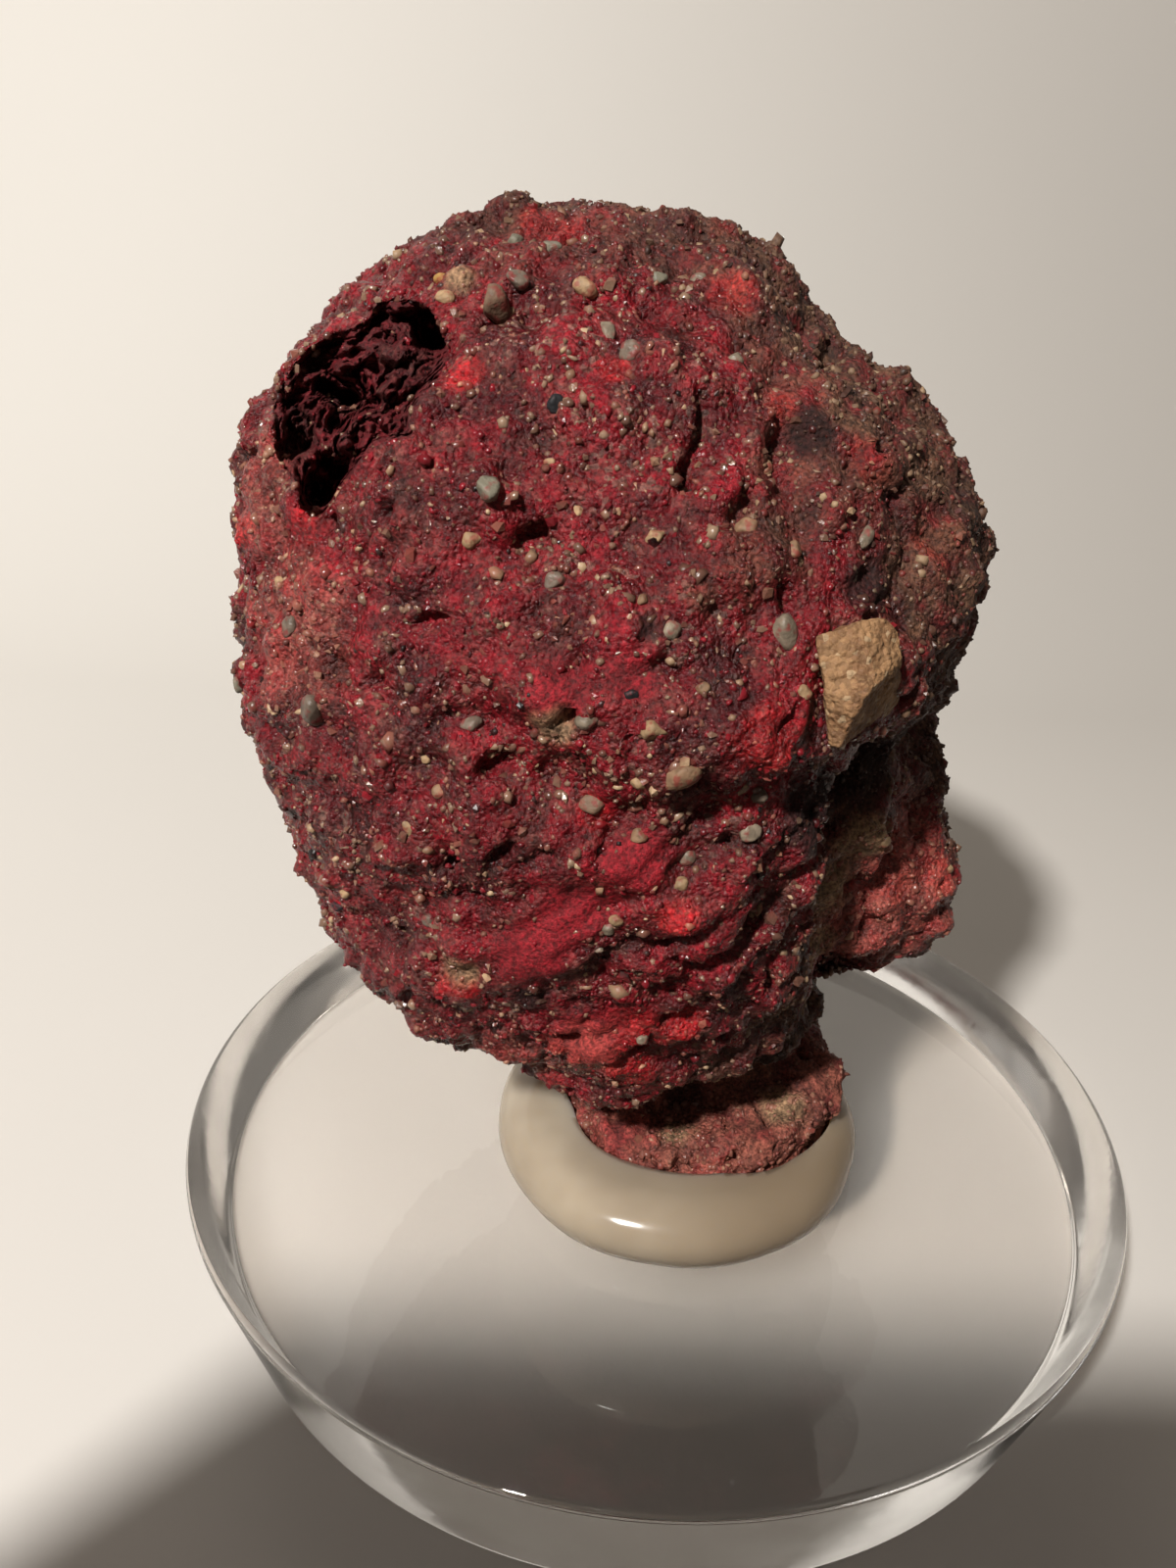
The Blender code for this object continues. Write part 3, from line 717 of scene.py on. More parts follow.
def write_values(mesh, name, values):
    """Keep one number for each point of a mesh, for its material to read."""
    mesh.attributes.new(name, "FLOAT", "POINT").data.foreach_set("value", values.astype(np.float32))


def write_tints(mesh, name, tints):
    """Keep one colour for each point of a mesh, for its material to read."""
    colours = np.hstack([tints, np.ones((len(tints), 1))]).astype(np.float32)
    mesh.attributes.new(name, "FLOAT_COLOR", "POINT").data.foreach_set("color", colours.ravel())


class Value:
    """An output of a material's nodes. Arithmetic on it adds Math nodes, and `node` adds any other."""

    def __init__(self, tree, socket=None):
        self.tree = tree
        self.socket = socket

    def node(self, kind, settings=None, inputs=None, output=0):
        """Add a node: its settings first, then a value or a link for each of its sockets."""
        made = self.tree.nodes.new("ShaderNode" + kind)
        for name, value in (settings or {}).items():
            setattr(made, name, value)
        for key, value in (inputs or {}).items():
            if isinstance(value, Value):
                self.tree.links.new(value.socket, made.inputs[key])
            else:
                made.inputs[key].default_value = value
        if isinstance(output, tuple):
            return [Value(self.tree, made.outputs[each]) for each in output]
        return Value(self.tree, made.outputs[output])

    def maths(self, operation, first, second):
        return self.node("Math", {"operation": operation}, {0: first, 1: second})

    def __add__(self, other):
        return self.maths("ADD", self, other)

    def __sub__(self, other):
        return self.maths("SUBTRACT", self, other)

    def __rsub__(self, other):
        return self.maths("SUBTRACT", other, self)

    def __mul__(self, other):
        return self.maths("MULTIPLY", self, other)

    def __pow__(self, other):
        return self.maths("POWER", self, other)

    def over(self, limit):
        return self.maths("GREATER_THAN", self, limit)

    def span(self, low, high, start=0.0, end=1.0):
        """`start` below `low`, `end` above `high`, and a smooth step between them."""
        settings = {"interpolation_type": "SMOOTHSTEP"}
        return self.node("MapRange", settings, {0: self, 1: low, 2: high, 3: start, 4: end})

    def mix(self, first, second, blend="MIX"):
        """The first colour where this value is 0 and the second where it is 1."""
        pick = [value if isinstance(value, Value) else (*value, 1.0) for value in (first, second)]
        settings = {"data_type": "RGBA", "blend_type": blend}
        return self.node("Mix", settings, {0: self, 6: pick[0], 7: pick[1]}, 2)

    def attribute(self, name, output="Fac"):
        return self.node("Attribute", {"attribute_name": name}, output=output)

    __radd__ = __add__
    __rmul__ = __mul__


def blank_material(name, settings):
    """A Principled material with its constant sockets set; also its shader and a start for nodes."""
    material = bpy.data.materials.new(name)
    material.use_nodes = True
    shader = material.node_tree.nodes["Principled BSDF"]
    for socket, value in settings.items():
        shader.inputs[socket].default_value = value
    return material, shader, Value(material.node_tree)


def feed(shader, start, **values):
    """Link worked-out values to a shader's sockets; underscores stand for spaces."""
    for name, value in values.items():
        start.tree.links.new(value.socket, shader.inputs[name.replace("_", " ")])


def place(start, offset=(0.0, 0.0, 0.0)):
    """The place on the piece in millimetres, moved by an offset so that patterns differ."""
    at = start.node("TexCoord", output="Object")
    inputs = {"Vector": at, "Location": offset, "Scale": (1 / MM,) * 3}
    return at.node("Mapping", {"vector_type": "POINT"}, inputs)


def noise(at, size, detail=2.0, roughness=0.5):
    inputs = {"Vector": at, "Scale": 1 / size, "Detail": detail, "Roughness": roughness}
    return at.node("TexNoise", {}, inputs, "Fac")


def bump(height, strength, depth, normal=None):
    """A normal that leans as a height in parts of `depth` millimetres rises and falls."""
    inputs = {"Height": height, "Strength": strength, "Distance": depth * MM}
    if normal:
        inputs["Normal"] = normal
    return height.node("Bump", {}, inputs, "Normal")


def coat(colour, *layers):
    """A colour with tints laid over it in turn, each by its own amount."""
    for amount, tint in layers:
        colour = amount.mix(colour, tint)
    return colour


def shaded(colour, shade):
    """A colour made darker or lighter by a factor."""
    return shade.node("HueSaturation", {}, {"Value": shade, "Color": colour})


def cells(at, size):
    """How far a place is from the middle of its cell, and two random numbers of that cell."""
    inputs = {"Vector": at, "Scale": 1 / size}
    distance, cell = at.node("TexVoronoi", {}, inputs, ("Distance", "Color"))
    return distance, *cell.node("SeparateColor", {}, {0: cell}, (0, 1))


def crust_material():
    """Cement between the grains: crimson to maroon, mottled mauve, stained, each cell its own shade;
    painted shade darkens its creases, recesses and right side, and painted light lifts its knob and tan
    patch.
    """
    settings = {"IOR": 1.5, "Specular IOR Level": 0.32}
    material, shader, start = blank_material("cinnabar crust", settings)
    stains = (start.attribute(name) for name in STAIN_AND_PAINTED_LIGHT_NAMES)
    dirt_and_painted_shade, glow, powder, pale, dust_and_painted_light, painted_recess_shade, rose_coat_and_painted_light, cavity, crease = stains
    at = place(start)
    aside = place(start, (37.0, 11.0, 5.0))
    blotch = noise(at, 4.2, 3.0)
    mottle = noise(aside, 1.5, 3.0)
    distance, pick, shade = cells(at, 0.34)
    colour = coat(
        blotch.span(0.36, 0.62).mix(MAROON, CRIMSON),
        (mottle.span(0.45, 0.70) * 0.4 * (1 - powder), MAUVE),
        (glow * mottle.span(0.3, 0.6, 0.3, 0.85), VERMILION),
        (powder * 0.7, POWDER_RED),
        (pick.over(0.86) * (0.2 + 0.4 * pale) * (1 - powder), PALE_SAND),
        # dirt, and painted shade on the right side
        (dirt_and_painted_shade * mottle.span(0.3, 0.55, 0.35, 0.9), mottle.span(0.4, 0.65).mix(BROWN_DIRT_AND_PAINTED_SHADE, PALE_DIRT_AND_PAINTED_SHADE)),
        # pink coat, and painted light on the knob face
        (rose_coat_and_painted_light * mottle.span(0.3, 0.6, 0.3, 0.8), ROSE_AND_PAINTED_LIGHT),
        # tan dust, and painted light on the tan patch
        (dust_and_painted_light * 0.75, TAN_DUST_AND_PAINTED_LIGHT),
        (cavity * blotch.span(0.3, 0.6, 0.1, 0.7), MAROON),
        # painted shade in the recesses and holes
        (painted_recess_shade * 0.8, PAINTED_SHADE_BLACK),
        # painted shade in the creases of the fine relief
        (crease * 0.6, PAINTED_SHADE_BLACK),
    )
    fine = noise(aside, 0.24, 4.0, 0.65)
    colour = shaded(colour, fine.span(0.3, 0.7, 0.38, 1.62) * shade.span(0.0, 1.0, 0.8, 1.2))
    dome = 1 - distance.span(0.0, 0.75)
    relief = dome * (0.7 - 0.5 * powder) + fine * 1.4
    roughness = mottle.span(0.3, 0.7, 0.2, 0.36) + (powder + dirt_and_painted_shade + dust_and_painted_light + painted_recess_shade + cavity) * 0.35
    feed(shader, start, Base_Color=colour, Roughness=roughness, Normal=bump(relief, 0.9, 0.16))
    return material


def grain_material(name, low, high, glossy, settings):
    """Loose grains: each one's own tone between two colours, tinted by the stains it sits in and by the
    painted shade and painted light of the crust there.
    """
    material, shader, start = blank_material(name, settings)
    tone = start.attribute("tone")
    dirt_and_painted_shade, glow, dust_and_painted_light, painted_recess_shade, rose_coat_and_painted_light, crease = (start.attribute(name) for name in GRAIN_STAINS_AND_PAINTED_LIGHT)
    at = place(start)
    mottle = noise(at, 0.35, 1.0)
    dusted = noise(place(start, (5.0, 8.0, 2.0)), 1.4, 3.0).span(0.42, 0.66)
    colour = coat(
        tone.mix(low, high),
        (dusted * (1 - dirt_and_painted_shade) * 0.5, CRIMSON),
        (glow * 0.4, VERMILION),
        # dirt, and painted shade on the right side
        (dirt_and_painted_shade * mottle.span(0.35, 0.6, 0.45, 0.9), tone.mix(BROWN_DIRT_AND_PAINTED_SHADE, PALE_DIRT_AND_PAINTED_SHADE)),
        # tan dust, and painted light on the tan patch
        (dust_and_painted_light * 0.6, TAN_DUST_ON_GRAINS),
        # pink coat, and painted light on the knob face
        (rose_coat_and_painted_light * 0.5, ROSE_AND_PAINTED_LIGHT),
        # painted shade on grains in the recesses and holes
        (painted_recess_shade * 0.7, PAINTED_SHADE_BLACK),
        # painted shade on grains in the creases
        (crease * 0.35, MAROON),
    )
    relief = noise(at, 0.12, 2.0)
    roughness = mottle.span(0.3, 0.7, glossy, glossy + 0.18) + dirt_and_painted_shade * 0.25
    feed(shader, start, Base_Color=colour, Roughness=roughness, Normal=bump(relief, 0.5, 0.05))
    return material


def clast_material(name, glossy, settings):
    """Clasts: each its own tint, veined a little lighter and darker, with a finely pitted skin."""
    material, shader, start = blank_material(name, settings)
    at = place(start)
    tint = start.attribute("tint", "Color")
    streak = noise(at, 0.45, 3.0)
    dusted = noise(place(start, (2.0, 6.0, 9.0)), 0.5, 3.0).span(0.5, 0.66)
    colour = (dusted * 0.6).mix(shaded(tint, streak.span(0.25, 0.75, 0.7, 1.25)), CRIMSON)
    relief = noise(at, 0.16, 3.0)
    roughness = streak.span(0.3, 0.7, glossy, glossy + 0.2)
    feed(shader, start, Base_Color=colour, Roughness=roughness, Normal=bump(relief, 0.6, 0.08))
    return material


def sandstone_material():
    """The tan pebble: fine sand with faint beds, darker pores and a few pale specks."""
    material, shader, start = blank_material("tan sandstone", {"IOR": 1.5, "Specular IOR Level": 0.35})
    at = place(start)
    aside = place(start, (9.0, 3.0, 21.0))
    blotch = noise(at, 1.6, 3.0)
    sand = noise(aside, 0.16, 2.0)
    distance, shade, speck = cells(at, 0.3)
    colour = coat(
        blotch.span(0.35, 0.65).mix(*PEBBLE_TONES),
        (sand.span(0.5, 0.75) * 0.5, PEBBLE_SAND),
        (speck.over(0.93) * 0.5, PEBBLE_SPECK),
    )
    colour = shaded(colour, shade.span(0, 1, 0.8, 1.15))
    relief = sand + (1 - distance.span(0.0, 0.8)) * 0.7 + blotch * 1.4
    roughness = sand.span(0.3, 0.7, 0.6, 0.9)
    feed(shader, start, Base_Color=colour, Roughness=roughness, Normal=bump(relief, 0.8, 0.12))
    return material


def glue_material():
    """Milky glue: light scatters inside it, painted shade darkens it to the right, and faint ripples run
    over it.
    """
    settings = {
        "IOR": 1.48,
        "Subsurface Weight": 0.9,
        "Subsurface Radius": (1.0, 0.86, 0.62),
        "Subsurface Scale": 4.0 * MM,
    }
    material, shader, start = blank_material("milky glue", settings)
    at = place(start)
    cloud = noise(at, 5.0, 2.0)
    across, _, _ = at.node("SeparateXYZ", {}, {0: at}, (0, 1, 2))
    # painted shade: darker towards the right
    colour = across.span(-9, 9).mix(cloud.span(0.3, 0.7).mix(*GLUE_TONES), GLUE_PAINTED_SHADE_RIGHT)
    ripple = noise(place(start, (4.0, 0.0, 2.0)), 3.0, 1.0)
    roughness = cloud.span(0.3, 0.7, 0.10, 0.20)
    feed(shader, start, Base_Color=colour, Roughness=roughness, Normal=bump(ripple, 0.25, 0.3))
    return material


def glass_lets_light_through(material, shader):
    """Lamps shine straight through the clear block, so that what stands behind it isn't black."""
    start = Value(material.node_tree)
    lamp_ray = start.node("LightPath", output="Is Shadow Ray")
    clear = start.node("BsdfTransparent", {}, {"Color": BLOCK_LETS_THROUGH})
    body = Value(material.node_tree, shader.outputs[0])
    both = start.node("MixShader", {}, {0: lamp_ray, 1: body, 2: clear})
    end = next(node for node in material.node_tree.nodes if node.type == "OUTPUT_MATERIAL")
    material.node_tree.links.new(both.socket, end.inputs["Surface"])


def acrylic_material(name, sawn):
    """Clear acrylic; on the sawn edge, fine upright marks bend the light and dull it."""
    settings = {"Base Color": (0.985, 0.992, 0.995, 1.0), "IOR": 1.49, "Transmission Weight": 1.0}
    material, shader, start = blank_material(name, settings)
    at = place(start)
    scuff = noise(at, 6.0, 4.0)
    glass_lets_light_through(material, shader)
    if sawn:
        inputs = {"Vector": at, "Scale": (1.0, 1.0, 0.05)}
        marks = noise(at.node("Mapping", {"vector_type": "POINT"}, inputs), 0.9, 2.0)
        feed(shader, start, Roughness=scuff.span(0.3, 0.7, 0.05, 0.15), Normal=bump(marks, 0.2, 0.04))
    else:
        feed(shader, start, Roughness=scuff.span(0.45, 0.8, 0.0, 0.05), Normal=bump(scuff, 0.1, 0.05))
    return material


def floor_material():
    """A pale, faintly uneven matt floor, with painted shade: darker near the camera and to the right, as
    the lamp's light falls off.
    """
    material, shader, start = blank_material("pale floor", {"Specular IOR Level": 0.2})
    at_floor = place(start)
    haze = noise(at_floor, 60.0, 2.0)
    across, deep, _ = at_floor.node("SeparateXYZ", {}, {0: at_floor}, (0, 1, 2))
    # painted shade: darker near the camera and towards the right
    colour = (haze * 0.2 + deep.span(-40, 160)).mix(*FLOOR_PAINTED_FALLOFF_TONES)
    colour = across.span(-160, 180, 0.0, 0.75).mix(colour, FLOOR_PAINTED_SHADE_RIGHT)
    feed(shader, start, Base_Color=colour, Roughness=haze.span(0.3, 0.7, 0.7, 0.8))
    return material


def camera_axes():
    """The camera's right, up and forward: level, tipped down, then rolled about its view."""
    forward = np.array([0.0, math.cos(CAMERA_DOWN), -math.sin(CAMERA_DOWN)])
    level = np.array([1.0, 0.0, 0.0])
    raised = np.cross(level, forward)
    right = math.cos(CAMERA_ROLL) * level + math.sin(CAMERA_ROLL) * raised
    return right, np.cross(right, forward), forward


def add_camera():
    """The photograph's view."""
    right, up, forward = camera_axes()
    lens = bpy.data.cameras.new("camera")
    lens.sensor_fit = "VERTICAL"
    lens.sensor_height = 36.0
    lens.lens = lens.sensor_height * CAMERA_FOCAL / PICTURE[1]
    lens.clip_start = MM
    camera = bpy.data.objects.new("camera", lens)
    bpy.context.scene.collection.objects.link(camera)
    turn = Matrix(np.column_stack([right, up, -forward]).tolist()).to_4x4()
    camera.matrix_world = Matrix.Translation(Vector(CAMERA_PLACE) * MM) @ turn
    bpy.context.scene.camera = camera


def view_ray(pixel):
    """The unit directions in which the camera sees pixels."""
    right, up, forward = camera_axes()
    pixel = np.asarray(pixel, float)
    across, below = pixel[..., 0:1] - PICTURE[0] / 2, pixel[..., 1:2] - PICTURE[1] / 2
    ray = forward * CAMERA_FOCAL + right * across - up * below
    return ray / np.linalg.norm(ray, axis=-1, keepdims=True)


def seen_pixel(points):
    """The pixels at which the camera sees points."""
    right, up, forward = camera_axes()
    offset = points - np.array(CAMERA_PLACE)
    far = offset @ forward / CAMERA_FOCAL
    return PICTURE[0] / 2 + (offset @ right) / far, PICTURE[1] / 2 - (offset @ up) / far


def within(pixels, outline):
    """Whether pixels lie within an outline: a level line from each crosses it an odd number of times."""
    across, down = pixels
    odd = np.zeros(across.shape, bool)
    for (first_x, first_y), (second_x, second_y) in zip(outline, outline[1:] + outline[:1]):
        spans = (first_y > down) != (second_y > down)
        crossing = first_x + (down - first_y) * (second_x - first_x) / ((second_y - first_y) or 1)
        odd ^= spans & (across < crossing)
    return odd


def seen_at(tree, pixel):
    """The place and normal on the crust, in millimetres, that the camera sees at a pixel."""
    hit, normal, _, _ = tree.ray_cast(Vector(CAMERA_PLACE), Vector(view_ray(pixel)))
    return (np.array(hit), np.array(normal)) if hit else (None, None)


def far_side(points):
    """How far behind the edge of the red face points lie: the far side is coated with dirt and darkened
    with painted shade.
    """
    first, middle, last = (np.array(RED_FACE_EDGE[index]) for index in (0, 2, 3))
    normal = np.cross(middle - first, last - middle)
    normal /= np.linalg.norm(normal)
    return (points - middle) @ normal


def stain_and_painted_light_values(points, spots):
    """How strongly each stain, and each patch of painted shade or painted light, colours each point,
    from 0 to 1.

    Spots fade with the distance from their middles and zones with a height or a distance, both with
    noise added for ragged borders. The painted crease shade is where the fine relief is low.
    """
    ragged = 2.6 * lattice_noise(points, 4.0, 51) + 1.2 * lattice_noise(points, 1.4, 53)
    values = {name: np.zeros(len(points)) for name in STAIN_AND_PAINTED_LIGHT_NAMES}
    for name, middle, radius in spots:
        distance = np.linalg.norm(points - middle, axis=-1) + 0.5 * radius * ragged / 2
        values[name] = np.maximum(values[name], 1 - ease(distance, 0.55 * radius, 1.15 * radius))
    # The far side: dirt, and painted shade darkening the right side
    far = ease(far_side(points) + 2.2 * ragged, *FAR_SIDE_ZONE)
    values["dirt_and_painted_shade"] = np.maximum(0.55 * values["dirt_and_painted_shade"], far)
    knob = np.linalg.norm(points - np.array(KNOB_FACE), axis=-1) + 0.8 * ragged
    values["dirt_and_painted_shade"] *= 1 - 0.85 * (1 - ease(knob, *KNOB_CLEAN_ZONE))
    foot = 1 - ease(points[:, 2] + 1.5 * ragged, *FOOT_ZONE)
    # Pink coat on the foot, and painted light on the knob face
    coated = 0.65 * np.maximum(1 - ease(knob, *KNOB_ROSE_AND_PAINTED_LIGHT_ZONE), 0.9 * foot)
    values["rose_coat_and_painted_light"] = np.maximum(0.4 * values["rose_coat_and_painted_light"], coated)
    values["dirt_and_painted_shade"] = np.maximum(values["dirt_and_painted_shade"], 0.3 * foot)
    crown = ease(points[:, 2] + 1.5 * ragged, *CROWN_ZONE)
    values["dirt_and_painted_shade"] = np.maximum(values["dirt_and_painted_shade"], 0.6 * crown)
    beside = np.linalg.norm(points - np.array(MOUTH_MIDDLE), axis=-1)
    values["cavity"] = within(seen_pixel(points), MOUTH_OUTLINE) * (1 - ease(beside, *MOUTH_ZONE))
    # Painted shade: darker where the fine relief is low, less so in the cavity
    values["crease"] = (1 - ease(fine_relief(points), *PAINTED_CREASE_SHADE_ZONE)) * (1 - 0.7 * values["cavity"])
    return values


def scatter(mesh):
    """Random places on a mesh, thinned to one for each small cube, with normals."""
    random = np.random.RandomState(GRAIN_SEED)
    mesh.calc_loop_triangles()
    corners = np.zeros(len(mesh.loop_triangles) * 3, np.int32)
    mesh.loop_triangles.foreach_get("vertices", corners)
    triangle = read_points(mesh)[corners.reshape(-1, 3)]
    cross = np.cross(triangle[:, 1] - triangle[:, 0], triangle[:, 2] - triangle[:, 0])
    size = np.linalg.norm(cross, axis=1)
    pick = np.searchsorted(np.cumsum(size) / size.sum(), random.rand(GRAIN_CANDIDATES))
    first, second = random.rand(2, GRAIN_CANDIDATES, 1)
    flip = first + second > 1
    first, second = np.where(flip, 1 - first, first), np.where(flip, 1 - second, second)
    corner = triangle[pick]
    points = corner[:, 0] + first * (corner[:, 1] - corner[:, 0])
    points = points + second * (corner[:, 2] - corner[:, 0])
    cubes = np.floor(points / GRAIN_STEP).astype(int)
    _, keep = np.unique(cubes, axis=0, return_index=True)
    keep = random.permutation(keep)
    normal = cross[pick[keep]] / size[pick[keep], None]
    return points[keep], normal


def grain_shape():
    """A knobbly grain: two poles and two rings of four points, turned against each other."""
    angle = np.arange(4) * math.pi / 2
    lower = np.stack([0.9 * np.cos(angle), 0.9 * np.sin(angle), 0 * angle - 0.45], -1)
    angle = angle + math.pi / 4
    upper = np.stack([0.9 * np.cos(angle), 0.9 * np.sin(angle), 0 * angle + 0.45], -1)
    points = np.vstack([lower, upper, [[0, 0, -1.0]], [[0, 0, 1.0]]])
    ring = np.arange(4)
    after = (ring + 1) % 4
    faces = [
        np.stack([ring, after, ring + 4], -1),
        np.stack([after, after + 4, ring + 4], -1),
        np.stack([0 * ring + 8, after, ring], -1),
        np.stack([0 * ring + 9, ring + 4, after + 4], -1),
    ]
    return points, np.vstack(faces)


def random_turns(random, count):
    """Random rotation matrices, from random quaternions of length 1."""
    parts = random.normal(size=(count, 4))
    w, x, y, z = (parts / np.linalg.norm(parts, axis=1)[:, None]).T
    rows = [
        [1 - 2 * (y * y + z * z), 2 * (x * y - z * w), 2 * (x * z + y * w)],
        [2 * (x * y + z * w), 1 - 2 * (x * x + z * z), 2 * (y * z - x * w)],
        [2 * (x * z - y * w), 2 * (y * z + x * w), 1 - 2 * (x * x + y * y)],
    ]
    return np.moveaxis(np.array(rows), -1, 0)


def grain_mesh(name, places, normals, widths, stains, seed):
    """Grains in one mesh, stretched, dented, turned and half sunk; also which faces are rounded."""
    random = np.random.RandomState(seed)
    shape, faces = grain_shape()
    count = len(places)
    stretch = 1 + 0.45 * (random.rand(count, 1, 3) - 0.5) * 2
    dented = shape[None] * stretch + 0.42 * (random.rand(count, len(shape), 3) - 0.5)
    turned = np.einsum("nij,nkj->nki", random_turns(random, count), dented)
    sunk = places + normals * (widths * (0.5 * random.rand(count) ** 1.8 - 0.5))[:, None]
    points = sunk[:, None] + turned * (widths / 2)[:, None, None]
    every = (faces[None] + len(shape) * np.arange(count)[:, None, None]).reshape(-1, 3)
    mesh = fill_mesh(name, points.reshape(-1, 3), every)
    write_values(mesh, "tone", np.repeat(random.rand(count) ** 1.5, len(shape)))
    for stain in GRAIN_STAINS_AND_PAINTED_LIGHT:
        write_values(mesh, stain, np.repeat(stains[stain], len(shape)))
    return mesh, np.repeat(random.rand(count) > GRAIN_CRYSTALS, len(faces))


def tree_of(mesh):
    """A mesh made ready for rays that are sent at it, in millimetres."""
    faces = [tuple(face.vertices) for face in mesh.polygons]
    return BVHTree.FromPolygons(read_points(mesh).tolist(), faces)


def make_crust():
    """The nodule's surface with the cavity broken into it."""
    mesh = fill_mesh("cinnabar_crust", *crust_surface())
    crust = make_object("cinnabar_crust", mesh, crust_material())
    carve(crust, cavity_surface(tree_of(crust.data)))
    crust.data.polygons.foreach_set("use_smooth", np.full(len(crust.data.polygons), True))
    settle(crust, "cinnabar_crust", "cinnabar_nodule")
    return crust


def find_spots(tree):
    """The spots of stain, painted shade and painted light, each with its middle on the crust."""
    spots = []
    for name, patches in STAINS_AND_PAINTED_LIGHT.items():
        for across, down, radius in patches:
            middle, _ = seen_at(tree, (across, down))
            if middle is not None:
                spots.append((name, middle, radius))
    return spots


def make_grains(crust, spots):
    """Sand grains of four kinds over the whole crust, each kind where its stains ask for it."""
    places, normals = scatter(crust.data)
    stains = stain_and_painted_light_values(places, spots)
    random = np.random.RandomState(GRAIN_SEED + 1)
    bare = 0.8 * stains["powder"] + 0.93 * stains["cavity"]
    shown = (places[:, 2] > GRAIN_LOWEST) & (random.rand(len(places)) > bare)
    dirt_and_painted_shade, pale, glow = (stains[name] for name in ("dirt_and_painted_shade", "pale", "glow"))
    crowd = lattice_noise(places, 2.6, GRAIN_SEED + 3) + 0.5 * lattice_noise(places, 1.1, GRAIN_SEED + 5)
    crowd = ease(crowd, -0.05, 0.3)
    quartz = 0.20 + 0.32 * crowd + 0.16 * pale - 0.06 * dirt_and_painted_shade - 0.14 * glow
    tan = 0.025 + 0.05 * crowd + 0.04 * pale + 0.14 * dirt_and_painted_shade
    dark = 0.05 + 0.03 * dirt_and_painted_shade
    draw = random.rand(len(places))
    kinds = np.select([draw < quartz, draw < quartz + tan, draw < quartz + tan + dark], [1, 2, 3], 0)
    widths = GRAIN_WIDTH * np.exp(GRAIN_SPREAD * random.normal(size=len(places)))
    widths *= 1 + 0.08 * (kinds == 1) + 0.15 * (kinds == 2) - 0.15 * (kinds == 0) - 0.15 * glow
    shown &= (kinds != 0) | (random.rand(len(places)) < 0.5 + 0.3 * dirt_and_painted_shade)
    for kind, (name, low, high, glossy, specular) in enumerate(GRAIN_KINDS):
        settings = {"Specular IOR Level": specular}
        material = grain_material(name.replace("_", " "), low, high, glossy, settings)
        chosen = np.flatnonzero(shown & (kinds == kind))
        for number, start in enumerate(range(0, len(chosen), GRAINS_A_PIECE)):
            batch = chosen[start : start + GRAINS_A_PIECE]
            own = {stain: stains[stain][batch] for stain in GRAIN_STAINS_AND_PAINTED_LIGHT}
            label = f"{name}_{number + 1}"
            seed = GRAIN_SEED + 100 * kind + number
            mesh, rounded = grain_mesh(label, places[batch], normals[batch], widths[batch], own, seed)
            settle(make_object(label, mesh, material, rounded), "cinnabar_crust")


def clast_surface(random, half, softness):
    """A clast: random planes near an ellipsoid, with the corners that stand far past it worn off."""
    normals = random.normal(size=(CLAST_SIDES, 3))
    normals /= np.linalg.norm(normals, axis=1)[:, None]
    distances = np.linalg.norm(normals * half, axis=1) * random.uniform(0.66, 0.98, CLAST_SIDES)
    plain = flat_sided((normals, distances), softness)

    def worn(direction):
        return np.minimum(plain(direction), CLAST_REACH / np.linalg.norm(direction / half, axis=-1))

    return round_surface(np.zeros(3), worn, 13, 22)


def make_clasts(tree):
    """The clasts that stand out: flat-sided stones, half sunk where the photograph shows them."""
    _, up, forward = camera_axes()
    side = np.cross(forward, up)
    groups = {"matt": [], "glossy": []}
    random = np.random.RandomState(CLAST_SEED)
    for tint, pixel, width, height, turn in CLASTS:
        place_on, normal = seen_at(tree, pixel)
        if place_on is None:
            continue
        half = np.array([width, height, 0.75 * min(width, height) + 0.1]) / 2
        points, faces = clast_surface(random, half, 0.02 * width)
        angle = math.radians(turn)
        across = math.cos(angle) * side + math.sin(angle) * up
        across -= normal * (across @ normal)
        across /= np.linalg.norm(across)
        axes = np.stack([across, np.cross(normal, across), normal])
        centre = place_on - normal * CLAST_SUNK * half[2]
        colour = np.tile(np.array(CLAST_TINTS[tint]) * random.uniform(0.85, 1.15), (len(points), 1))
        group = "glossy" if tint in GLOSSY_TINTS else "matt"
        groups[group].append((points @ axes + centre, faces, colour))
    for group, name, glossy in (("matt", "sandy clasts", 0.5), ("glossy", "quartz clasts", 0.32)):
        points, faces, colours = zip(*groups[group])
        counts = np.cumsum([0] + [len(each) for each in points[:-1]])
        every = np.vstack([each + count for each, count in zip(faces, counts)])
        mesh = fill_mesh(name.replace(" ", "_"), np.vstack(points), every)
        write_tints(mesh, "tint", np.vstack(colours))
        material = clast_material(name, glossy, {"IOR": 1.5, "Specular IOR Level": 0.3})
        settle(make_object(name.replace(" ", "_"), mesh, material), "cinnabar_crust")


def pebble_planes():
    """The faces of the hull of the pebble's corners, as normals and distances from its middle."""
    corners = np.array(PEBBLE_CORNERS)
    middle = corners.mean(0)
    shell = bmesh.new()
    for corner in corners - middle:
        shell.verts.new(corner)
    bmesh.ops.convex_hull(shell, input=shell.verts)
    normals = []
    distances = []
    for face in shell.faces:
        face.normal_update()
        normal = np.array(face.normal)
        distance = normal @ np.array(face.calc_center_median())
        normals.append(normal * np.sign(distance))
        distances.append(abs(distance))
    shell.free()
    return middle, (np.array(normals), np.array(distances))


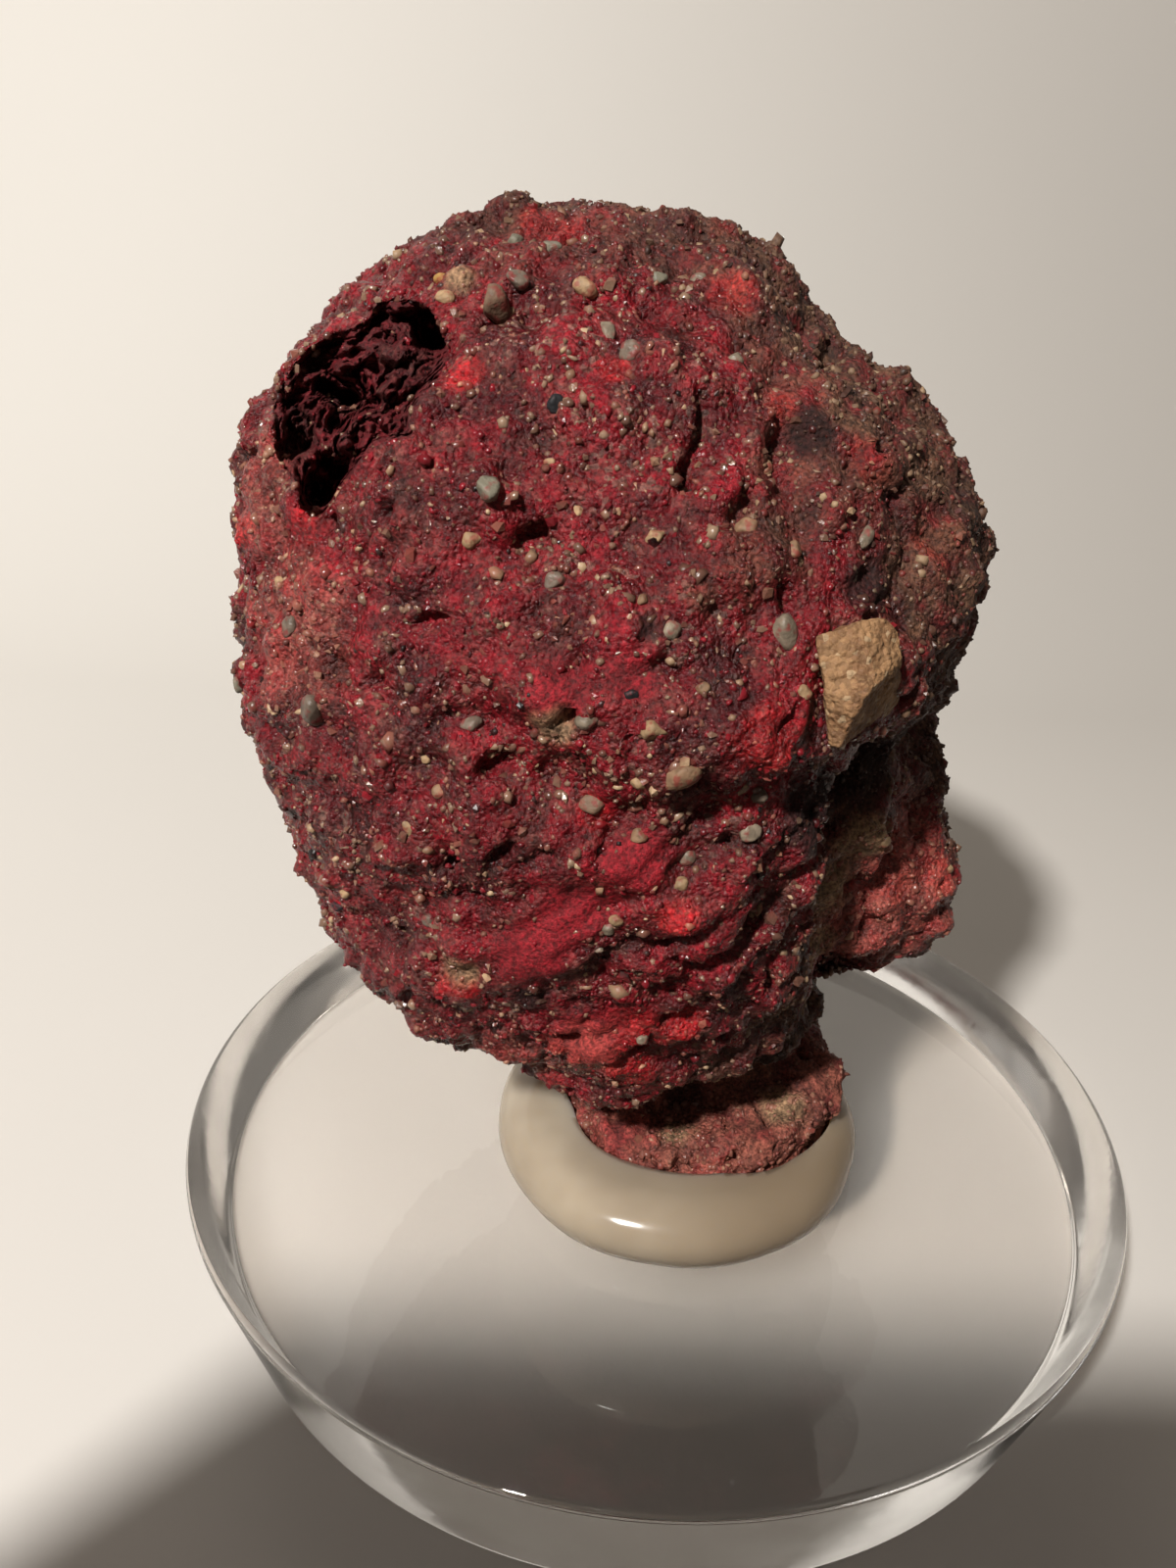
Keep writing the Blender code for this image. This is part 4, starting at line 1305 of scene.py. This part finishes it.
def make_pebble():
    """The tan pebble: the hull of its corners with worn edges, dimples and a sandy skin."""
    middle, planes = pebble_planes()
    plain = flat_sided(planes, 0.035)

    def reach_of(direction):
        reach = plain(direction)
        skin = middle + direction * reach[..., None]
        dimples = 0.22 * lattice_noise(skin, 1.5, 71) + 0.16 * lattice_noise(skin, 0.6, 73)
        return reach + dimples + 0.10 * lattice_noise(skin, 0.28, 75)

    points, faces = round_surface(middle, reach_of, 150, 220)
    mesh = fill_mesh("sandstone_pebble", points, faces)
    pebble = make_object("sandstone_pebble", mesh, sandstone_material())
    settle(pebble, "tan_sandstone", "tan_pebble")


def make_glue():
    """The glue: a turned drop whose outline wavers, with a recess for the nodule's foot."""
    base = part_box("acrylic_block")[1].z / MM
    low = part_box("glue_pad")[0].z / MM
    angle = np.linspace(GLUE_UNDERSIDE, 0.5 * math.pi, 40)
    side = 1 - GLUE_SHOULDER * (1 - np.cos(angle))
    height = low + (GLUE_TOP - low) * (GLUE_WIDEST + (1 - GLUE_WIDEST) * np.sin(angle))
    part = np.concatenate([[0.94], side[1:], np.linspace(side[-1], GLUE_FLAT, 8)[1:]])
    height = np.concatenate([[base + 0.02], height[1:], np.full(7, GLUE_TOP)])
    turn = np.linspace(0, 2 * math.pi, 240, endpoint=False)[None, :]
    waver = 1 + 0.010 * np.sin(2 * turn + 0.8) + 0.006 * np.sin(5 * turn) + 0.004 * np.sin(9 * turn + 2)
    x = GLUE_CENTRE[0] + GLUE_REACH[0] * part[:, None] * waver * np.cos(turn)
    y = GLUE_CENTRE[1] + GLUE_REACH[1] * part[:, None] * waver * np.sin(turn)
    surface = closed_surface(spread(x, y, height[:, None]))
    glue = make_object("milky_glue", fill_mesh("milky_glue", *surface), glue_material())
    foot = nodule_grid(120, 120)
    foot = foot[: int((foot[:, :, 2].mean(1) < GLUE_TOP + 3).sum())]
    foot = foot + outward(foot) * (coarse_relief(foot) * (np.arange(len(foot)) > 0)[:, None])[..., None]
    carve(glue, closed_surface(foot))
    glue.data.polygons.foreach_set("use_smooth", np.full(len(glue.data.polygons), True))
    settle(glue, "milky_glue", "glue_pad")


def make_block():
    """The clear block: a turned profile that draws in downwards, sawn round its edge."""
    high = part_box("acrylic_block")[1] / MM
    radius, top = high.x, high.z
    corner = np.linspace(0, math.pi / 2, 5)
    rise = top - BLOCK_BEVEL + BLOCK_BEVEL * np.sin(corner)
    inset = radius - BLOCK_BEVEL + BLOCK_BEVEL * np.cos(corner)
    profile_radius = np.concatenate([[radius / 2], inset[::-1] - BLOCK_TAPER, inset, [radius / 2]])
    profile_height = np.concatenate([[0.0], top - rise[::-1], rise, [top]])
    turn = np.linspace(0, 2 * math.pi, 360, endpoint=False)[None, :]
    reach = profile_radius[:, None]
    grid = spread(reach * np.cos(turn), reach * np.sin(turn), profile_height[:, None])
    mesh = fill_mesh("clear_acrylic_disc", *closed_surface(grid, (0, 0, 0), (0, 0, top)))
    block = make_object("clear_acrylic_disc", mesh, acrylic_material("polished acrylic", sawn=False))
    mesh.materials.append(acrylic_material("sawn acrylic edge", sawn=True))
    normals = np.zeros(len(mesh.polygons) * 3, np.float32)
    mesh.polygons.foreach_get("normal", normals)
    upright = np.abs(normals.reshape(-1, 3)[:, 2])
    mesh.polygons.foreach_set("material_index", (upright < 0.4).astype(np.int32))
    mesh.polygons.foreach_set("use_smooth", upright < 0.999)
    settle(block, "clear_acrylic", "acrylic_block")


def add_floor():
    """A pale floor that runs back and curves up into a wall."""
    bend = np.linspace(0, math.pi / 2, 32)
    curve_run, curve_rise = FLOOR_LEVEL_TO + FLOOR_BEND * np.sin(bend), FLOOR_BEND * (1 - np.cos(bend))
    run = np.concatenate([[-FLOOR_REACH, -400.0, 0.0], curve_run, [FLOOR_LEVEL_TO + FLOOR_BEND]])
    rise = np.concatenate([[0.0, 0.0, 0.0], curve_rise, [FLOOR_REACH]])
    across = np.linspace(-1600.0, 1600.0, 9)
    grid = spread(across[:, None], run[None, :], rise[None, :] - FLOOR_GAP)
    columns, stops = grid.shape[:2]
    column, stop = np.mgrid[: columns - 1, : stops - 1]
    here = column * stops + stop
    faces = np.vstack([
        np.stack([here, here + stops, here + stops + 1], -1).reshape(-1, 3),
        np.stack([here, here + stops + 1, here + 1], -1).reshape(-1, 3),
    ])
    floor = make_object("floor", fill_mesh("floor", grid.reshape(-1, 3), faces), floor_material())


def lamp_line(floor_spot):
    """Where the lamp's ray to a spot on the floor crosses the card's plane."""
    lamp, spot = np.array(KEY_PLACE), np.array([*floor_spot, 0.0])
    return lamp + (spot - lamp) * (CARD_PLACE - lamp[1]) / (spot[1] - lamp[1])


def add_card():
    """The card that shades the near part of the floor; only lamp rays meet it."""
    left, corner, right = (lamp_line(spot) for spot in (SHADOW_LEFT, SHADOW_CORNER, SHADOW_RIGHT))
    far_right = corner + (right - corner) * 5
    low_left = corner + (left - corner) * (corner[2] - CARD_LOW) / (corner[2] - left[2])
    low_right = np.array([far_right[0], CARD_PLACE, CARD_LOW])
    points = np.array([low_left, low_right, far_right, corner])
    card = make_object("card", fill_mesh("card", points, np.array([[0, 1, 2], [0, 2, 3]])))
    for sight in ("camera", "diffuse", "glossy", "transmission"):
        setattr(card, "visible_" + sight, False)


def add_lights():
    """A warm lamp from the upper left and front."""
    lamp = bpy.data.lights.new("key", "SPOT")
    lamp.energy = KEY_POWER
    lamp.shadow_soft_size = KEY_RADIUS * MM
    lamp.color = KEY_COLOUR
    lamp.spot_size = 2 * KEY_HALF_ANGLE
    lamp.spot_blend = KEY_BLEND
    light = bpy.data.objects.new("key", lamp)
    bpy.context.scene.collection.objects.link(light)
    light.location = Vector(KEY_PLACE) * MM
    light.rotation_euler = (Vector(KEY_AIM) - Vector(KEY_PLACE)).to_track_quat("-Z", "Y").to_euler()
    world = bpy.data.worlds.new("studio")
    bpy.context.scene.world = world
    world.use_nodes = True
    sky = world.node_tree.nodes["Background"]
    sky.inputs["Color"].default_value = (*SKY_COLOUR, 1.0)
    sky.inputs["Strength"].default_value = SKY_STRENGTH
    bpy.context.scene.cycles.glossy_bounces = INNER_REFLECTIONS
    bpy.context.scene.cycles.max_bounces = 2 * INNER_REFLECTIONS


add_camera()
crust_piece = make_crust()
surface_tree = tree_of(crust_piece.data)
stain_and_painted_light_spots = find_spots(surface_tree)
for stain_name, stain in stain_and_painted_light_values(read_points(crust_piece.data), stain_and_painted_light_spots).items():
    write_values(crust_piece.data, stain_name, stain)
make_grains(crust_piece, stain_and_painted_light_spots)
make_clasts(surface_tree)
make_pebble()
make_glue()
make_block()
add_floor()
add_card()
add_lights()
bpy.context.scene.view_settings.view_transform = "Standard"
